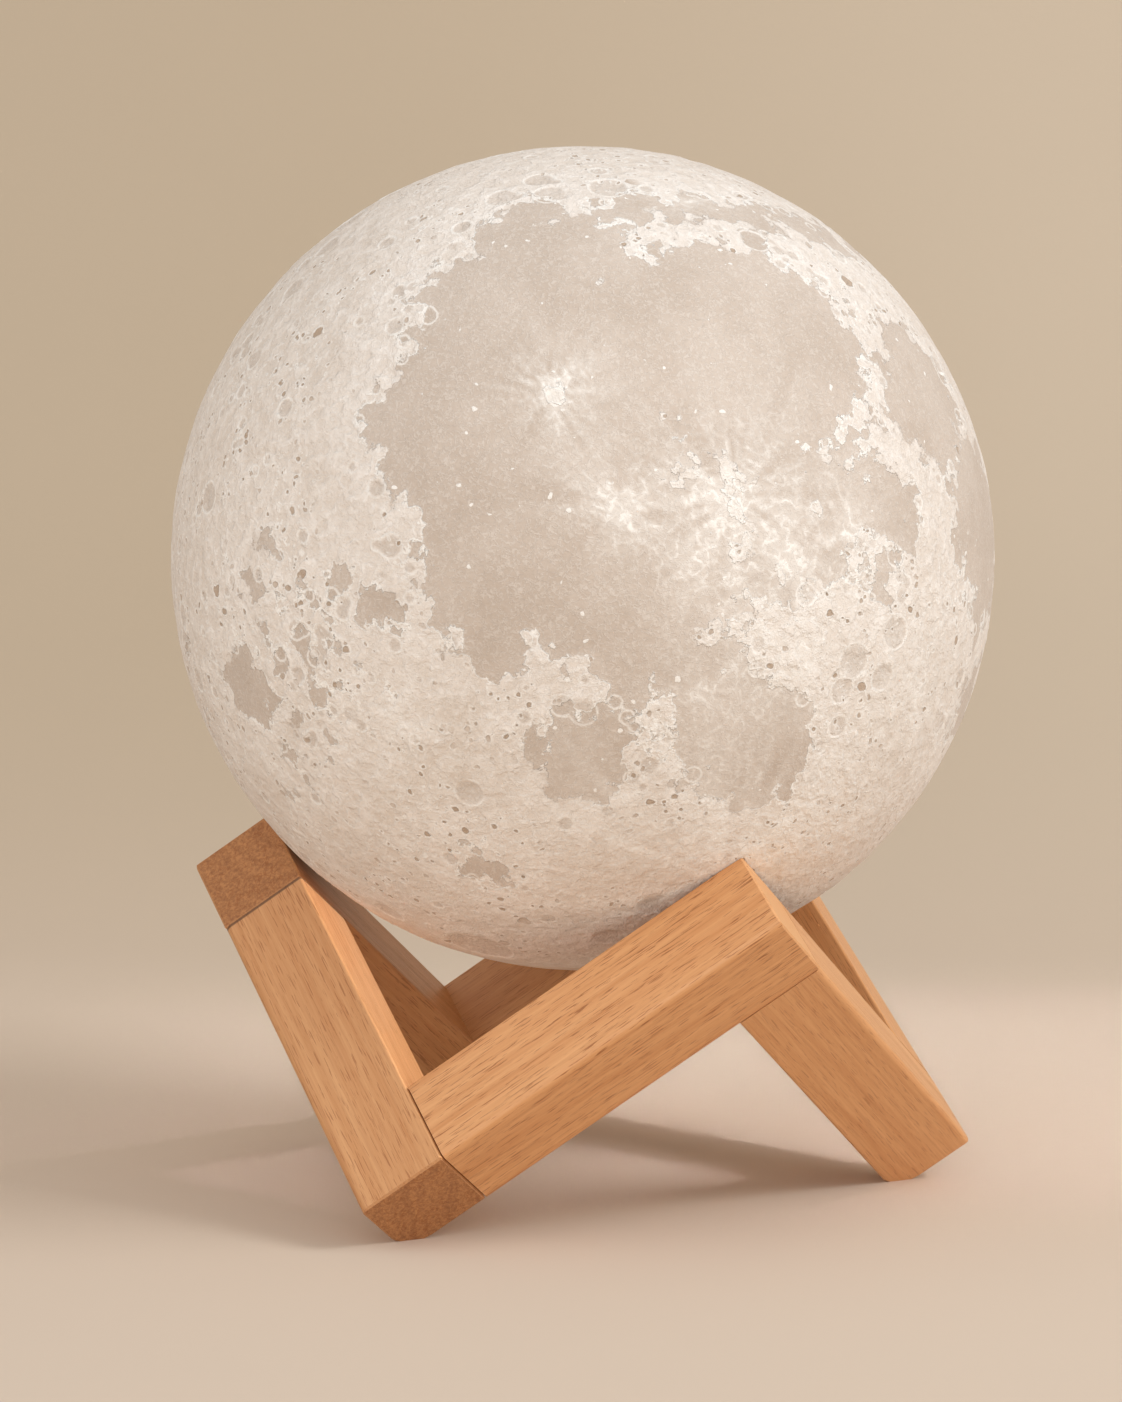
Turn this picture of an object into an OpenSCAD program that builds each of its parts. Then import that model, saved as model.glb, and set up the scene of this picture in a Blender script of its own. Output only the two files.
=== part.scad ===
// Moon lamp: a printed moon globe that sits loose in a cradle of six square
// beech sticks, with a rechargeable light module twisted into its underside.
// Millimetres, +Z up. The origin is on the table under the globe's centre.
//
// The sticks follow six edges of a cube that stands on one corner, the zigzag
// ring that touches neither the top nor the bottom corner. Each stick starts
// against the side of the one before it, and its far end runs through to the
// cube's corner. Even sticks run through to a foot, odd sticks to a seat.

/* [Globe] */
// Outer diameter of the moon globe
globe_d = 150; // [138:1:170]
// Wall of the printed globe
shell_wall = 1.6; // [1.2:0.1:2.4]

/* [Stand] */
// Edge of the cube that the sticks follow
cube_edge = 88; // [80:1:94]
// Width of the square beech sticks
stick_w = 17; // [14:0.5:20]
// Rounding of the outer edge of each stick, along the cube's edge
ridge_r = 1.2; // [0.6:0.1:2]
// Rounding of the other long edges
edge_r = 0.5; // [0.2:0.1:1]
// Bevel round the end that runs through
end_bevel = 0.35; // [0.1:0.05:0.6]
// Height taken off each foot corner so that it stands flat
foot_cut = 2.7; // [1.5:0.1:3.5]
// Radius that the corners of a foot's flat are eased to
foot_r = 3.0; // [2.2:0.1:3.6]
// How deep a seat's corner is hollowed to the globe's curve
seat_depth = 0.3; // [0.1:0.05:0.8]
// Air between the globe and its hollowed seats
seat_gap = 0.15; // [0.1:0.05:0.3]

/* [Dowels] */
// Diameter of the dowels
dowel_d = 6; // [4:0.5:8]
// Length of the dowels, half in each stick
dowel_l = 20; // [14:1:26]
// Radial play between a dowel and its hole
dowel_fit = 0.05; // [0.02:0.01:0.1]
// Spare depth at the bottom of a dowel hole
dowel_spare = 1; // [0.5:0.1:2]
// Bevel on a dowel's ends
dowel_bevel = 0.8; // [0.4:0.1:1.2]
// Open line at the two joints that pull apart
dry_gap = 0.25; // [0.1:0.05:0.4]

/* [Neck ring] */
// Wall of the neck ring outside the tab channel
ring_wall = 1.5; // [1:0.1:2.5]
// Width of the lip that is let into the globe's outside
lip_w = 1.7; // [1:0.1:3]
// Thickness of that lip
lip_t = 0.8; // [0.5:0.1:1]
// Glue line round the neck ring
glue_gap = 0.1; // [0.05:0.01:0.2]
// Thickness of the ledge that the tabs turn on to
ledge_t = 4.75; // [3:0.25:7]
// Height of the ring above the tabs
ring_over_tab = 0.5; // [0.2:0.1:1.5]

/* [Light module] */
// Outer diameter of the module's housing
module_d = 31.2; // [30:0.2:33]
// Wall of the housing
housing_wall = 2; // [1.6:0.1:2.4]
// Room inside the housing, from the cover to the top plate
housing_room = 38.2; // [37.6:0.2:46]
// Thickness of the housing's top plate
top_plate_t = 1.6; // [1.2:0.1:2.5]
// How far the flange stands out from the housing
flange_reach = 1.7; // [1.4:0.1:2]
// Thickness of the flange
flange_t = 1.4; // [1:0.1:2]
// How far the bayonet tabs stand out from the housing
tab_reach = 1.55; // [1.2:0.05:1.9]
// Thickness of a tab
tab_t = 2.2; // [1.5:0.1:3]
// Angle that a tab covers
tab_angle = 30; // [20:1:34]
// Turn from locked to the slots
twist_angle = 45; // [42:1:50]
// Play round the housing, flange and tabs
twist_gap = 0.25; // [0.15:0.05:0.4]
// Play under the tabs, on the ledge
tab_play = 0.1; // [0.05:0.05:0.2]
// Height of the cover's inner face above the globe's lowest point
cover_h = 3.4; // [3:0.1:4.5]
// Section diameter of the silicone cushion ring
cushion_d = 1; // [0.8:0.1:1.2]

/* [Base details] */
// Width of plastic between the housing's outer face and the touch ring
touch_rim = 1.4; // [1.2:0.1:1.8]
// Width of the touch ring
touch_w = 3; // [2:0.1:3.4]
// Thickness of the touch ring
touch_t = 0.8; // [0.5:0.1:1]
// Diameter of the contact pin on the touch ring
touch_pin_d = 1.6; // [1:0.1:1.8]
// Diameter of the indicator's light pipe
pipe_d = 1.8; // [1.2:0.1:2.2]
// Distance of the light pipe from the axis
pipe_x = 7.8; // [7:0.1:8.6]
// Width of the charging port's shell
port_w = 9; // [8.9:0.1:9.4]
// Depth of the charging port's shell
port_t = 3.3; // [3.2:0.1:3.6]
// Sheet thickness of the charging port's shell
port_wall = 0.3; // [0.2:0.05:0.4]
// Play round the port in the cover
port_gap = 0.15; // [0.1:0.05:0.3]
// How far the port's mouth is set back above the globe's lowest point
port_setback = 0.6; // [0.3:0.1:1.2]

/* [Electronics] */
// Height of the control board above the cover's inner face
board_up = 7.6; // [6.5:0.1:8.5]
// Air between the control board and the housing's wall
board_gap = 0.6; // [0.2:0.1:1.2]
// Thickness of the circuit boards
board_t = 1.2; // [1:0.1:1.6]
// Battery width, depth and height
battery = [20, 10, 26];
// Corner radius of the battery pouch
battery_r = 2; // [1:0.5:3]
// Room for the parts on the control board, under the battery
parts_room = 2.6; // [2.2:0.1:3.2]
// Outer diameter of the leads
lead_d = 1.2; // [0.8:0.1:1.6]

/* [Screws] */
// Shank diameter of the two cover screws
screw_d = 1.9; // [1.6:0.1:2.2]
// Head diameter
screw_head_d = 3.8; // [3.2:0.1:4]
// Head height
screw_head_h = 1; // [0.8:0.1:1.4]
// Length under the head
screw_l = 17; // [14:0.5:20]
// Distance of each screw from the axis
screw_y = 8.6; // [8.2:0.1:8.8]
// Diameter of the posts and bosses round the screws
post_d = 4.6; // [4:0.1:4.8]

/* [Light source] */
// Height of the pedestal under the light board
pedestal_h = 5; // [3:0.5:9]
// Outer diameter of the pedestal
pedestal_d = 14; // [11:0.5:18]
// Wall of the pedestal
pedestal_wall = 1.5; // [1:0.1:2.5]
// Thickness of the heat pad under the light board
pad_t = 0.4; // [0.2:0.1:0.8]
// Diameter of the light board
light_board_d = 20; // [19:0.5:22]
// Number of light chips in the ring
chip_count = 8; // [4:1:9]
// Radius of the ring of chips
chip_ring_r = 7; // [6.4:0.1:7.4]
// Light chip length, width and height
chip = [3.5, 2.8, 0.8];
// Outer diameter of the frosted dome
dome_d = 26; // [25:0.5:28]
// Wall of the dome
dome_wall = 1.2; // [0.8:0.1:1.4]
// How far the dome's foot flange stands out
dome_foot = 1.2; // [0.8:0.1:1.4]

/* [Hidden] */
$fn = 96;

// Overshoot of a cutter past the face that it cuts
over = 1;
globe_r = globe_d / 2;
half = cube_edge / 2;
hollow = half - stick_w;

// The cube's diagonal stands upright. A stick's corners reach seat_z above
// and below the cube's centre, at seat_rad from the upright axis.
diagonal_tilt = atan(sqrt(2));
seat_z = (half + stick_w) / sqrt(3);
seat_rad = sqrt(hollow * hollow + 2 * half * half - seat_z * seat_z);
centre_z = seat_z - foot_cut;
seated_r = globe_r - seat_depth;
globe_z = centre_z + seat_z + sqrt(seated_r * seated_r - seat_rad * seat_rad);
bottom_z = globe_z - globe_r;

// Eased foot: the cutter widens faster than the corner does
foot_ease_h = 3;
foot_ease_slope = 2;

dowel_hole_r = dowel_d / 2 + dowel_fit;
dowel_hole_l = dowel_l / 2 + dowel_spare;

// Module radii, from the axis outwards
module_r = module_d / 2;
room_r = module_r - housing_wall;
board_r = room_r - board_gap;
flange_r = module_r + flange_reach;
tab_r = module_r + tab_reach;
bore_r = module_r + twist_gap;
channel_r = tab_r + twist_gap;
recess_r = flange_r + twist_gap;
ring_r = max(channel_r, recess_r) + ring_wall;
neck_hole_r = ring_r + glue_gap;
lip_r = ring_r + lip_w;

// Heights above the globe's lowest point
flange_h = cover_h + flange_t;
ledge_h = flange_h + twist_gap;
ledge_top = ledge_h + ledge_t;
tab_h = ledge_top + tab_play;
ring_top = tab_h + tab_t + ring_over_tab;
board_h = cover_h + board_up;
board_top = board_h + board_t;
battery_h = board_top + parts_room;
battery_top = battery_h + battery[2];
plate_h = cover_h + housing_room;
plate_top = plate_h + top_plate_t;
light_h = plate_top + pedestal_h + pad_t;
light_top = light_h + board_t;

slot_angle = tab_angle + 4;
slot_step = 0.1;
stop_angle = 5;
stop_clear = 3;
stop_in = 0.6;
cushion_h = ledge_h + ledge_t / 2;
cushion_play = 0.05;
cushion_rad = bore_r - cushion_play - cushion_d / 2;

touch_out_r = module_r - touch_rim;
touch_in_r = touch_out_r - touch_w;
touch_pin_x = -(touch_in_r + touch_w / 2);
part_play = 0.1;
spigot_w = 1.2;
spigot_h = 1.6;
head_seat_h = 2;
cross_w = 0.5;
cross_l = 2.2;
boss_rib_w = 1.6;
lead_x = battery[0] / 2 + lead_d / 2 + 0.4;
red_y = 1.6;
lead_rise = 0.9;
light_lead_y = 1.6;
light_lead_turn = light_h - pad_t - 1.8;
led_size = [1.6, 0.8, 0.5];

// ---------------------------------------------------------------- placing

// Stands the cube on its corner, with its centre over the origin
module cube_frame() {
    translate([0, 0, centre_z]) rotate([diagonal_tilt, 0, 0]) rotate([0, 0, 45]) children();
}

// Puts a copy of the first stick's work at place i of the ring: each step
// turns it 60 degrees about the upright axis and turns it upside down
module ring_place(i) {
    rotate([0, 0, 60 * i]) translate([0, 0, centre_z])
        mirror([0, 0, i % 2]) translate([0, 0, -centre_z]) cube_frame() children();
}

// Measures heights from the globe's lowest point
module from_bottom(h) {
    translate([0, 0, bottom_z + h]) children();
}

// A solid ball about the globe's centre
module ball(r) {
    translate([0, 0, globe_z]) sphere(r, $fn = 180);
}

// A disc about the axis between two heights above the globe's lowest point
module disc(r, low, high) {
    from_bottom(low) cylinder(r = r, h = high - low);
}

// ------------------------------------------------------------------ stand

// What rounding takes off one corner of a square section
module corner_bit(r) {
    difference() {
        square(2 * r, center = true);
        translate([-r, -r]) circle(r);
    }
}

// Square section with its four edges rounded, the ridge at upper left
module stick_section() {
    e = stick_w / 2;
    difference() {
        square(stick_w, center = true);
        translate([-e, e]) mirror([1, 0]) corner_bit(ridge_r);
        translate([e, e]) corner_bit(edge_r);
        translate([-e, -e]) rotate(180) corner_bit(edge_r);
        translate([e, -e]) mirror([0, 1]) corner_bit(edge_r);
    }
}

// Bevels the four edges of a square end that lies in the XY plane
module end_bevels(b) {
    for (turn = [0:90:270])
        rotate([0, 0, turn]) translate([stick_w / 2, 0, 0]) rotate([0, 45, 0])
            cube([b * sqrt(2), 2 * stick_w, b * sqrt(2)], center = true);
}

// One stick before its foot or seat is cut, at the first place of the ring.
// short is what its butting end stands back from the stick before it.
module stick_blank(short) {
    len = cube_edge - stick_w - short;
    mid = half - stick_w / 2;
    difference() {
        translate([-mid, hollow - short, mid]) rotate([90, 0, 0]) difference() {
            linear_extrude(len) stick_section();
            translate([0, 0, len]) end_bevels(end_bevel);
            translate([0, 0, -over])
                cylinder(r = dowel_hole_r, h = dowel_hole_l + over - short, $fn = 48);
        }
        translate([-hollow + over, -mid, mid]) rotate([0, -90, 0])
            cylinder(r = dowel_hole_r, h = dowel_hole_l + over, $fn = 48);
    }
}

// Takes the foot corner off at the table and eases the edges round the flat
module foot_cutter() {
    reach = 2 * stick_w;
    translate([-reach / 2, -seat_rad - reach / 2, -reach]) cube(reach);
    translate([0, -seat_rad, 0]) difference() {
        translate([0, 0, -over])
            cylinder(r = foot_r + foot_ease_h * foot_ease_slope, h = foot_ease_h + over, $fn = 48);
        cylinder(r1 = foot_r, r2 = foot_r + foot_ease_h * foot_ease_slope, h = foot_ease_h,
            $fn = 48);
    }
}

// Stick i of the ring: even ones end in a foot, odd ones in a seat
module stick(i, short = 0) {
    color("#c98f60") difference() {
        ring_place(i) stick_blank(short);
        if (i % 2 == 0) rotate([0, 0, 60 * i]) foot_cutter();
        else ball(globe_r + seat_gap);
    }
}

module front_left_stick() { stick(0); }
module front_right_stick() { stick(1, dry_gap); }
module right_stick() { stick(2); }
module rear_right_stick() { stick(3); }
module rear_left_stick() { stick(4, dry_gap); }
module left_stick() { stick(5); }

// Dowel through the joint between stick i and the next one
module dowel(i) {
    mid = half - stick_w / 2;
    straight = dowel_l - 2 * dowel_bevel;
    tip_r = dowel_d / 2 - dowel_bevel;
    color("#d9b282") ring_place(i) translate([-hollow - dowel_l / 2, -mid, mid])
        rotate([0, 90, 0]) union() {
            cylinder(r1 = tip_r, r2 = dowel_d / 2, h = dowel_bevel, $fn = 48);
            translate([0, 0, dowel_bevel]) cylinder(d = dowel_d, h = straight, $fn = 48);
            translate([0, 0, dowel_l - dowel_bevel])
                cylinder(r1 = dowel_d / 2, r2 = tip_r, h = dowel_bevel, $fn = 48);
        }
}

module front_glued_dowels() { for (i = [1, 2]) dowel(i); }
module rear_glued_dowels() { for (i = [4, 5]) dowel(i); }
module locating_dowels() { for (i = [0, 3]) dowel(i); }

// ------------------------------------------------------------------ globe

// Printed shell, open at the bottom, with a rebate for the neck ring's lip
module moon_shell() {
    color("#e4d6c8") difference() {
        ball(globe_r);
        ball(globe_r - shell_wall);
        disc(neck_hole_r, -over, globe_r / 2);
        difference() {
            disc(lip_r + glue_gap, -over, globe_r / 4);
            ball(globe_r - lip_t);
        }
    }
}

// Pie slice of a ring between two radii and two angles
module ring_slice(r_in, r_out, from, to, low, high) {
    from_bottom(low) rotate([0, 0, from]) rotate_extrude(angle = to - from)
        translate([r_in, 0]) square([r_out - r_in, high - low]);
}

// Half section of the neck ring, drawn from the globe's centre: a tube that
// follows the globe's outside at its foot, with the lip on it
module neck_section() {
    recess_top = ledge_h - globe_r;
    channel_low = ledge_top - globe_r;
    top = ring_top - globe_r;
    intersection() {
        circle(globe_r, $fn = 180);
        difference() {
            translate([bore_r, -globe_r]) square([lip_r - bore_r, top + globe_r]);
            translate([0, -globe_r - over]) square([recess_r, recess_top + globe_r + over]);
            translate([0, channel_low]) square([channel_r, top - channel_low + over]);
            intersection() {
                circle(globe_r - lip_t, $fn = 180);
                translate([ring_r, -globe_r]) square([lip_r, top + globe_r + over]);
            }
        }
    }
}

// Stop post in the tab channel, from one angle to another
module stop_post(from) {
    ring_slice(channel_r - stop_in, channel_r + over / 2, from, from + stop_angle,
        ledge_top - over / 4, ring_top - over / 4);
}

// Bayonet socket: lip, recess for the flange, ledge with three slots, stops
module neck_ring() {
    past_tab = tab_angle / 2 + stop_clear;
    color("#efe8dc") union() {
        difference() {
            translate([0, 0, globe_z]) rotate_extrude() neck_section();
            for (turn = [0:120:240])
                ring_slice(bore_r - over, channel_r - slot_step,
                    turn + twist_angle - slot_angle / 2, turn + twist_angle + slot_angle / 2,
                    -over, ledge_top + over);
        }
        for (turn = [0:120:240]) {
            stop_post(turn - past_tab - stop_angle);
            stop_post(turn + twist_angle + past_tab);
        }
    }
}

// ----------------------------------------------------------- light module

// Places copies at the two screws
module at_screws() {
    for (side = [-1, 1]) translate([0, side * screw_y, 0]) children();
}

// Housing cup: tube, flange, three tabs, top plate and two screw bosses
module module_housing() {
    color("#f1ede4") difference() {
        union() {
            disc(module_r, cover_h, plate_top);
            disc(flange_r, cover_h, flange_h);
            for (turn = [0:120:240])
                ring_slice(module_r - over, tab_r, turn - tab_angle / 2, turn + tab_angle / 2,
                    tab_h, tab_h + tab_t);
        }
        difference() {
            disc(room_r, cover_h - over, plate_h);
            at_screws() disc(post_d / 2, board_top, plate_top);
            for (side = [-1, 1])
                translate([-boss_rib_w / 2, side > 0 ? screw_y : -module_r, bottom_z + board_top])
                    cube([boss_rib_w, module_r - screw_y, plate_top - board_top]);
        }
        at_screws() disc(screw_d / 2 + part_play / 2, cover_h, head_seat_h + screw_l + over);
        difference() {
            disc(module_r + over, cushion_h - cushion_d / 2 - part_play,
                cushion_h + cushion_d / 2 + part_play);
            disc(cushion_rad - cushion_d / 2, cover_h, plate_top);
        }
        for (side = [-1, 1])
            translate([-lead_x, side * light_lead_y, 0])
                disc(lead_d / 2 + part_play, plate_h - over, plate_top + over);
    }
}

// Stadium outline of the charging port
module port_outline(grow) {
    w = port_w + 2 * grow;
    t = port_t + 2 * grow;
    square([w - t, t], center = true);
    for (side = [-1, 1]) translate([side * (w - t) / 2, 0]) circle(d = t, $fn = 48);
}

// Cover that carries on the globe's curve across the opening
module base_cover() {
    color("#f1ede4") difference() {
        union() {
            intersection() {
                disc(flange_r, 0, cover_h);
                ball(globe_r);
            }
            difference() {
                disc(room_r - part_play, cover_h - over / 2, cover_h + spigot_h);
                disc(room_r - part_play - spigot_w, cover_h - over, cover_h + spigot_h + over);
            }
            at_screws() disc(post_d / 2, cover_h - over / 2, board_h);
        }
        difference() {
            disc(touch_out_r + part_play / 2, -over, cover_h);
            disc(touch_in_r - part_play / 2, -over, cover_h);
            ball(globe_r - touch_t);
        }
        translate([touch_pin_x, 0, 0])
            disc(touch_pin_d / 2 + part_play, -over, cover_h + spigot_h + over);
        translate([pipe_x, 0, 0]) disc(pipe_d / 2 + part_play / 2, -over, cover_h + over);
        from_bottom(-over) linear_extrude(cover_h + 2 * over) port_outline(port_gap);
        at_screws() disc(screw_d / 2 + part_play, -over, board_h + over);
        at_screws() disc(screw_head_d / 2 + part_play, -over, head_seat_h);
    }
}

// Steel ring that is touched to switch and dim the lamp
module touch_ring() {
    color("#c9c9c6") difference() {
        intersection() {
            disc(touch_out_r, 0, cover_h);
            ball(globe_r);
        }
        disc(touch_in_r, -over, cover_h + over);
        ball(globe_r - touch_t);
    }
}

// Pin that carries the touch from the ring to the board
module touch_pin() {
    color("#d8b45a") intersection() {
        translate([touch_pin_x, 0, 0]) disc(touch_pin_d / 2, 0, board_h, $fn = 48);
        ball(globe_r - touch_t);
    }
}

// Clear rod that shows the charging light
module light_pipe() {
    color("#dfe9ee") intersection() {
        translate([pipe_x, 0, 0]) disc(pipe_d / 2, 0, board_h - led_size[2], $fn = 48);
        ball(globe_r);
    }
}

// Shell of the charging port, open at the bottom
module charging_port() {
    mouth = port_setback;
    color("#bfc1c4") difference() {
        from_bottom(mouth) linear_extrude(board_h - mouth) port_outline(0);
        from_bottom(mouth - over) linear_extrude(board_h - mouth - over) port_outline(-port_wall);
    }
}

// Contact tongue in the middle of the port
module port_tongue() {
    low = port_setback + 1;
    high = board_h - 2 * over;
    color("#2a2a2c") from_bottom(low) translate([-port_w / 2 + 1.2, -0.35, 0])
        cube([port_w - 2.4, 0.7, high - low]);
}

module control_board() {
    color("#2f6b45") difference() {
        disc(board_r, board_h, board_top);
        at_screws() disc(screw_d / 2 + part_play, board_h - over, board_top + over);
    }
}

// Controller, coil, two capacitors and the lead socket on the board
module board_parts() {
    color("#3a3a3d") from_bottom(board_top) {
        translate([-3, -2.4, 0]) cube([6, 4.8, 1.5]);
        translate([4.2, -4.6, 0]) cube([4, 4, 2.1]);
        translate([5, 1, 0]) cube([1.6, 3.2, 1.4]);
        translate([-7, 2, 0]) cube([3.2, 1.6, 1.4]);
        translate([-7.6, -4, 0]) cube([3.6, 3, 1.8]);
    }
}

module indicator_led() {
    color("#f4f4ee") translate([pipe_x, 0, 0]) from_bottom(board_h - led_size[2])
        translate([-led_size[0] / 2, -led_size[1] / 2, 0]) cube(led_size);
}

// Rounded block that stands on the XY plane
module rounded_block(size, r) {
    linear_extrude(size[2]) union() {
        square([size[0] - 2 * r, size[1]], center = true);
        square([size[0], size[1] - 2 * r], center = true);
        for (x = [-1, 1], y = [-1, 1])
            translate([x * (size[0] / 2 - r), y * (size[1] / 2 - r)]) circle(r, $fn = 32);
    }
}

module battery_pouch() {
    color("#8f9aa6") from_bottom(battery_h) rounded_block(battery, battery_r);
}

// Foam between the battery and the top plate
module battery_pad() {
    color("#4a4a4a") from_bottom(battery_top)
        rounded_block([battery[0] - 2, battery[1] - 2, plate_h - battery_top], 1);
}

// Lead through a list of points, each leg along one axis
module lead(points) {
    for (k = [0:len(points) - 2]) {
        a = points[k];
        b = points[k + 1];
        leg = norm(b - a);
        turn = abs(b[2] - a[2]) > 0.01 ? (b[2] > a[2] ? [0, 0, 0] : [180, 0, 0])
            : (b[0] > a[0] ? [0, 90, 0] : [0, -90, 0]);
        translate(a) rotate(turn) cylinder(d = lead_d, h = leg, $fn = 24);
        if (k > 0) translate(a) sphere(d = lead_d, $fn = 24);
    }
}

// Battery lead: out of the pouch's side near its top and down to the board
module battery_lead(y) {
    out_h = bottom_z + battery_top - lead_rise;
    lead([[battery[0] / 2, y, out_h], [lead_x, y, out_h], [lead_x, y, bottom_z + board_top]]);
}

module red_lead() { color("#b8322a") battery_lead(red_y); }
module black_lead() { color("#26262a") battery_lead(-red_y); }

// Pair of leads from the control board up to the light board
module light_leads() {
    in_x = light_board_d / 2 - lead_d;
    color("#e8e6df") for (side = [-1, 1]) {
        y = side * light_lead_y;
        lead([[-lead_x, y, bottom_z + board_top], [-lead_x, y, bottom_z + light_lead_turn],
            [-in_x, y, bottom_z + light_lead_turn], [-in_x, y, bottom_z + light_h]]);
    }
}

module light_pedestal() {
    color("#f1ede4") difference() {
        disc(pedestal_d / 2, plate_top, plate_top + pedestal_h);
        disc(pedestal_d / 2 - pedestal_wall, plate_top - over, plate_top + pedestal_h + over);
    }
}

module heat_pad() {
    color("#b9bec4") disc(pedestal_d / 2, plate_top + pedestal_h, light_h);
}

module light_board() {
    color("#e9e9e6") disc(light_board_d / 2, light_h, light_top);
}

// One chip in the middle and a ring of chips round it
module light_chips() {
    color("#f2d36b") from_bottom(light_top) {
        translate([-chip[0] / 2, -chip[1] / 2, 0]) cube(chip);
        for (k = [0:chip_count - 1])
            rotate([0, 0, k * 360 / chip_count]) translate([chip_ring_r, 0, 0])
                translate([-chip[1] / 2, -chip[0] / 2, 0]) cube([chip[1], chip[0], chip[2]]);
    }
}

// Half outline of the dome: a straight wall up to the light board, then round
module dome_outline(r, rise) {
    intersection() {
        union() {
            square([r, rise]);
            translate([0, rise]) circle(r);
        }
        square([r, rise + r]);
    }
}

module frosted_dome() {
    rise = light_top - plate_top;
    r = dome_d / 2;
    color("#f7f5ef") from_bottom(plate_top) rotate_extrude() difference() {
        union() {
            dome_outline(r, rise);
            square([r + dome_foot, dome_wall]);
        }
        translate([0, -over]) square([r - dome_wall, over]);
        dome_outline(r - dome_wall, rise);
    }
}

// Silicone ring that keeps the module from rattling in the neck
module cushion_ring() {
    color("#d9d5cb") from_bottom(cushion_h) rotate_extrude()
        translate([cushion_rad, 0]) circle(d = cushion_d, $fn = 32);
}

// Cross-head screws through cover, board and housing
module cover_screws() {
    color("#9a9ca0") at_screws() difference() {
        union() {
            disc(screw_head_d / 2, head_seat_h - screw_head_h, head_seat_h, $fn = 48);
            disc(screw_d / 2, head_seat_h - over / 2, head_seat_h + screw_l, $fn = 48);
        }
        from_bottom(head_seat_h - screw_head_h) for (turn = [0, 90])
            rotate([0, 0, turn]) cube([cross_l, cross_w, screw_head_h], center = true);
    }
}

front_left_stick();
front_right_stick();
right_stick();
rear_right_stick();
rear_left_stick();
left_stick();
front_glued_dowels();
rear_glued_dowels();
locating_dowels();
moon_shell();
neck_ring();
module_housing();
base_cover();
touch_ring();
touch_pin();
light_pipe();
charging_port();
port_tongue();
control_board();
board_parts();
indicator_led();
battery_pouch();
battery_pad();
red_lead();
black_lead();
light_leads();
light_pedestal();
heat_pad();
light_board();
light_chips();
frosted_dome();
cushion_ring();
cover_screws();
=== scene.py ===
"""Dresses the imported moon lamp: printed globe, beech stand and twist-in light module."""
import math
import bmesh
import bpy
import numpy as np
from bpy.props import FloatProperty, FloatVectorProperty, IntProperty, PointerProperty
from mathutils import Matrix, Vector, noise


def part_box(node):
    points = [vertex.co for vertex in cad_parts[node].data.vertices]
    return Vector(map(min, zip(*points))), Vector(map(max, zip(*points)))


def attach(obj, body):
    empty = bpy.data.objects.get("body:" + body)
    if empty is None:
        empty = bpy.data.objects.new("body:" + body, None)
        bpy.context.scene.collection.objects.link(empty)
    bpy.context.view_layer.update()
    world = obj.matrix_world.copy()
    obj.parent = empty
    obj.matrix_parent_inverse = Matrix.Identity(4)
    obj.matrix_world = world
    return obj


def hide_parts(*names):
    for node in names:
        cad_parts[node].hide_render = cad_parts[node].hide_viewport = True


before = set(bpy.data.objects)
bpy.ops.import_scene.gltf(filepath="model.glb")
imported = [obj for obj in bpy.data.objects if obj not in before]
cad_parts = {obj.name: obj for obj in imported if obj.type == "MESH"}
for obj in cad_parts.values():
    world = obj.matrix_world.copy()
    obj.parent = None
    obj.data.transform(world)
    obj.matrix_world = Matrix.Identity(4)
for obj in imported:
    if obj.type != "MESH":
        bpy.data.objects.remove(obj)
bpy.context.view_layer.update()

bl_info = {
    "name": "Moon lamp",
    "version": (1, 0, 0),
    "blender": (4, 5, 0),
    "location": "View3D > Sidebar > Moon lamp",
    "description": "Finishes the moon lamp's globe, wooden stand and light module",
    "category": "Object",
}

MM = 0.001
PER_MM = 1000.0
# Height of the portrait in pixels, which the camera's focal length is counted in
PORTRAIT_LONG_SIDE = 1402


def tone(code):
    """Linear RGBA of an sRGB hex value."""
    parts = [int(code[i : i + 2], 16) / 255 for i in (1, 3, 5)]
    return tuple(c / 12.92 if c <= 0.04045 else ((c + 0.055) / 1.055) ** 2.4 for c in parts) + (1.0,)


def colour(name, description, code):
    """A colour that a user may change, kept linear."""
    return FloatVectorProperty(
        name=name, description=description, subtype="COLOR", size=4, min=0, max=1, default=tone(code)
    )


def length(name, description, value_mm):
    """A length that a user may change, kept in metres."""
    return FloatProperty(name=name, description=description, unit="LENGTH", default=value_mm * MM)


# ------------------------------------------------------------ places, from the frame

globe_low, globe_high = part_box("moon_shell")
GLOBE_R = (globe_high.x - globe_low.x) / 2
GLOBE_MID = Vector((0, 0, globe_high.z - GLOBE_R))
lip_low, lip_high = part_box("neck_ring")
LIP_R = (lip_high.x - lip_low.x) / 2
# Height of the middle of the cube that the sticks run along
STAND_MID = 0.0325184


# ------------------------------------------------------------ sizes and colours


class MoonLampCamera(bpy.types.PropertyGroup):
    """Where the portrait camera stands."""

    azimuth: FloatProperty(
        name="Azimuth", description="Turn round the lamp", subtype="ANGLE", default=math.radians(32.2)
    )
    elevation: FloatProperty(
        name="Elevation", description="Height angle", subtype="ANGLE", default=math.radians(6.4)
    )
    distance: length("Distance", "From the middle of the stand's cube to the camera", 801)
    focal_px: FloatProperty(name="Focal length in pixels", description="At full height", default=4329)
    aim_right: length("Aim to the right", "Camera's shift to its right", -4.0)
    aim_up: length("Aim up", "Camera's shift upwards", 55.93)


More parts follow.
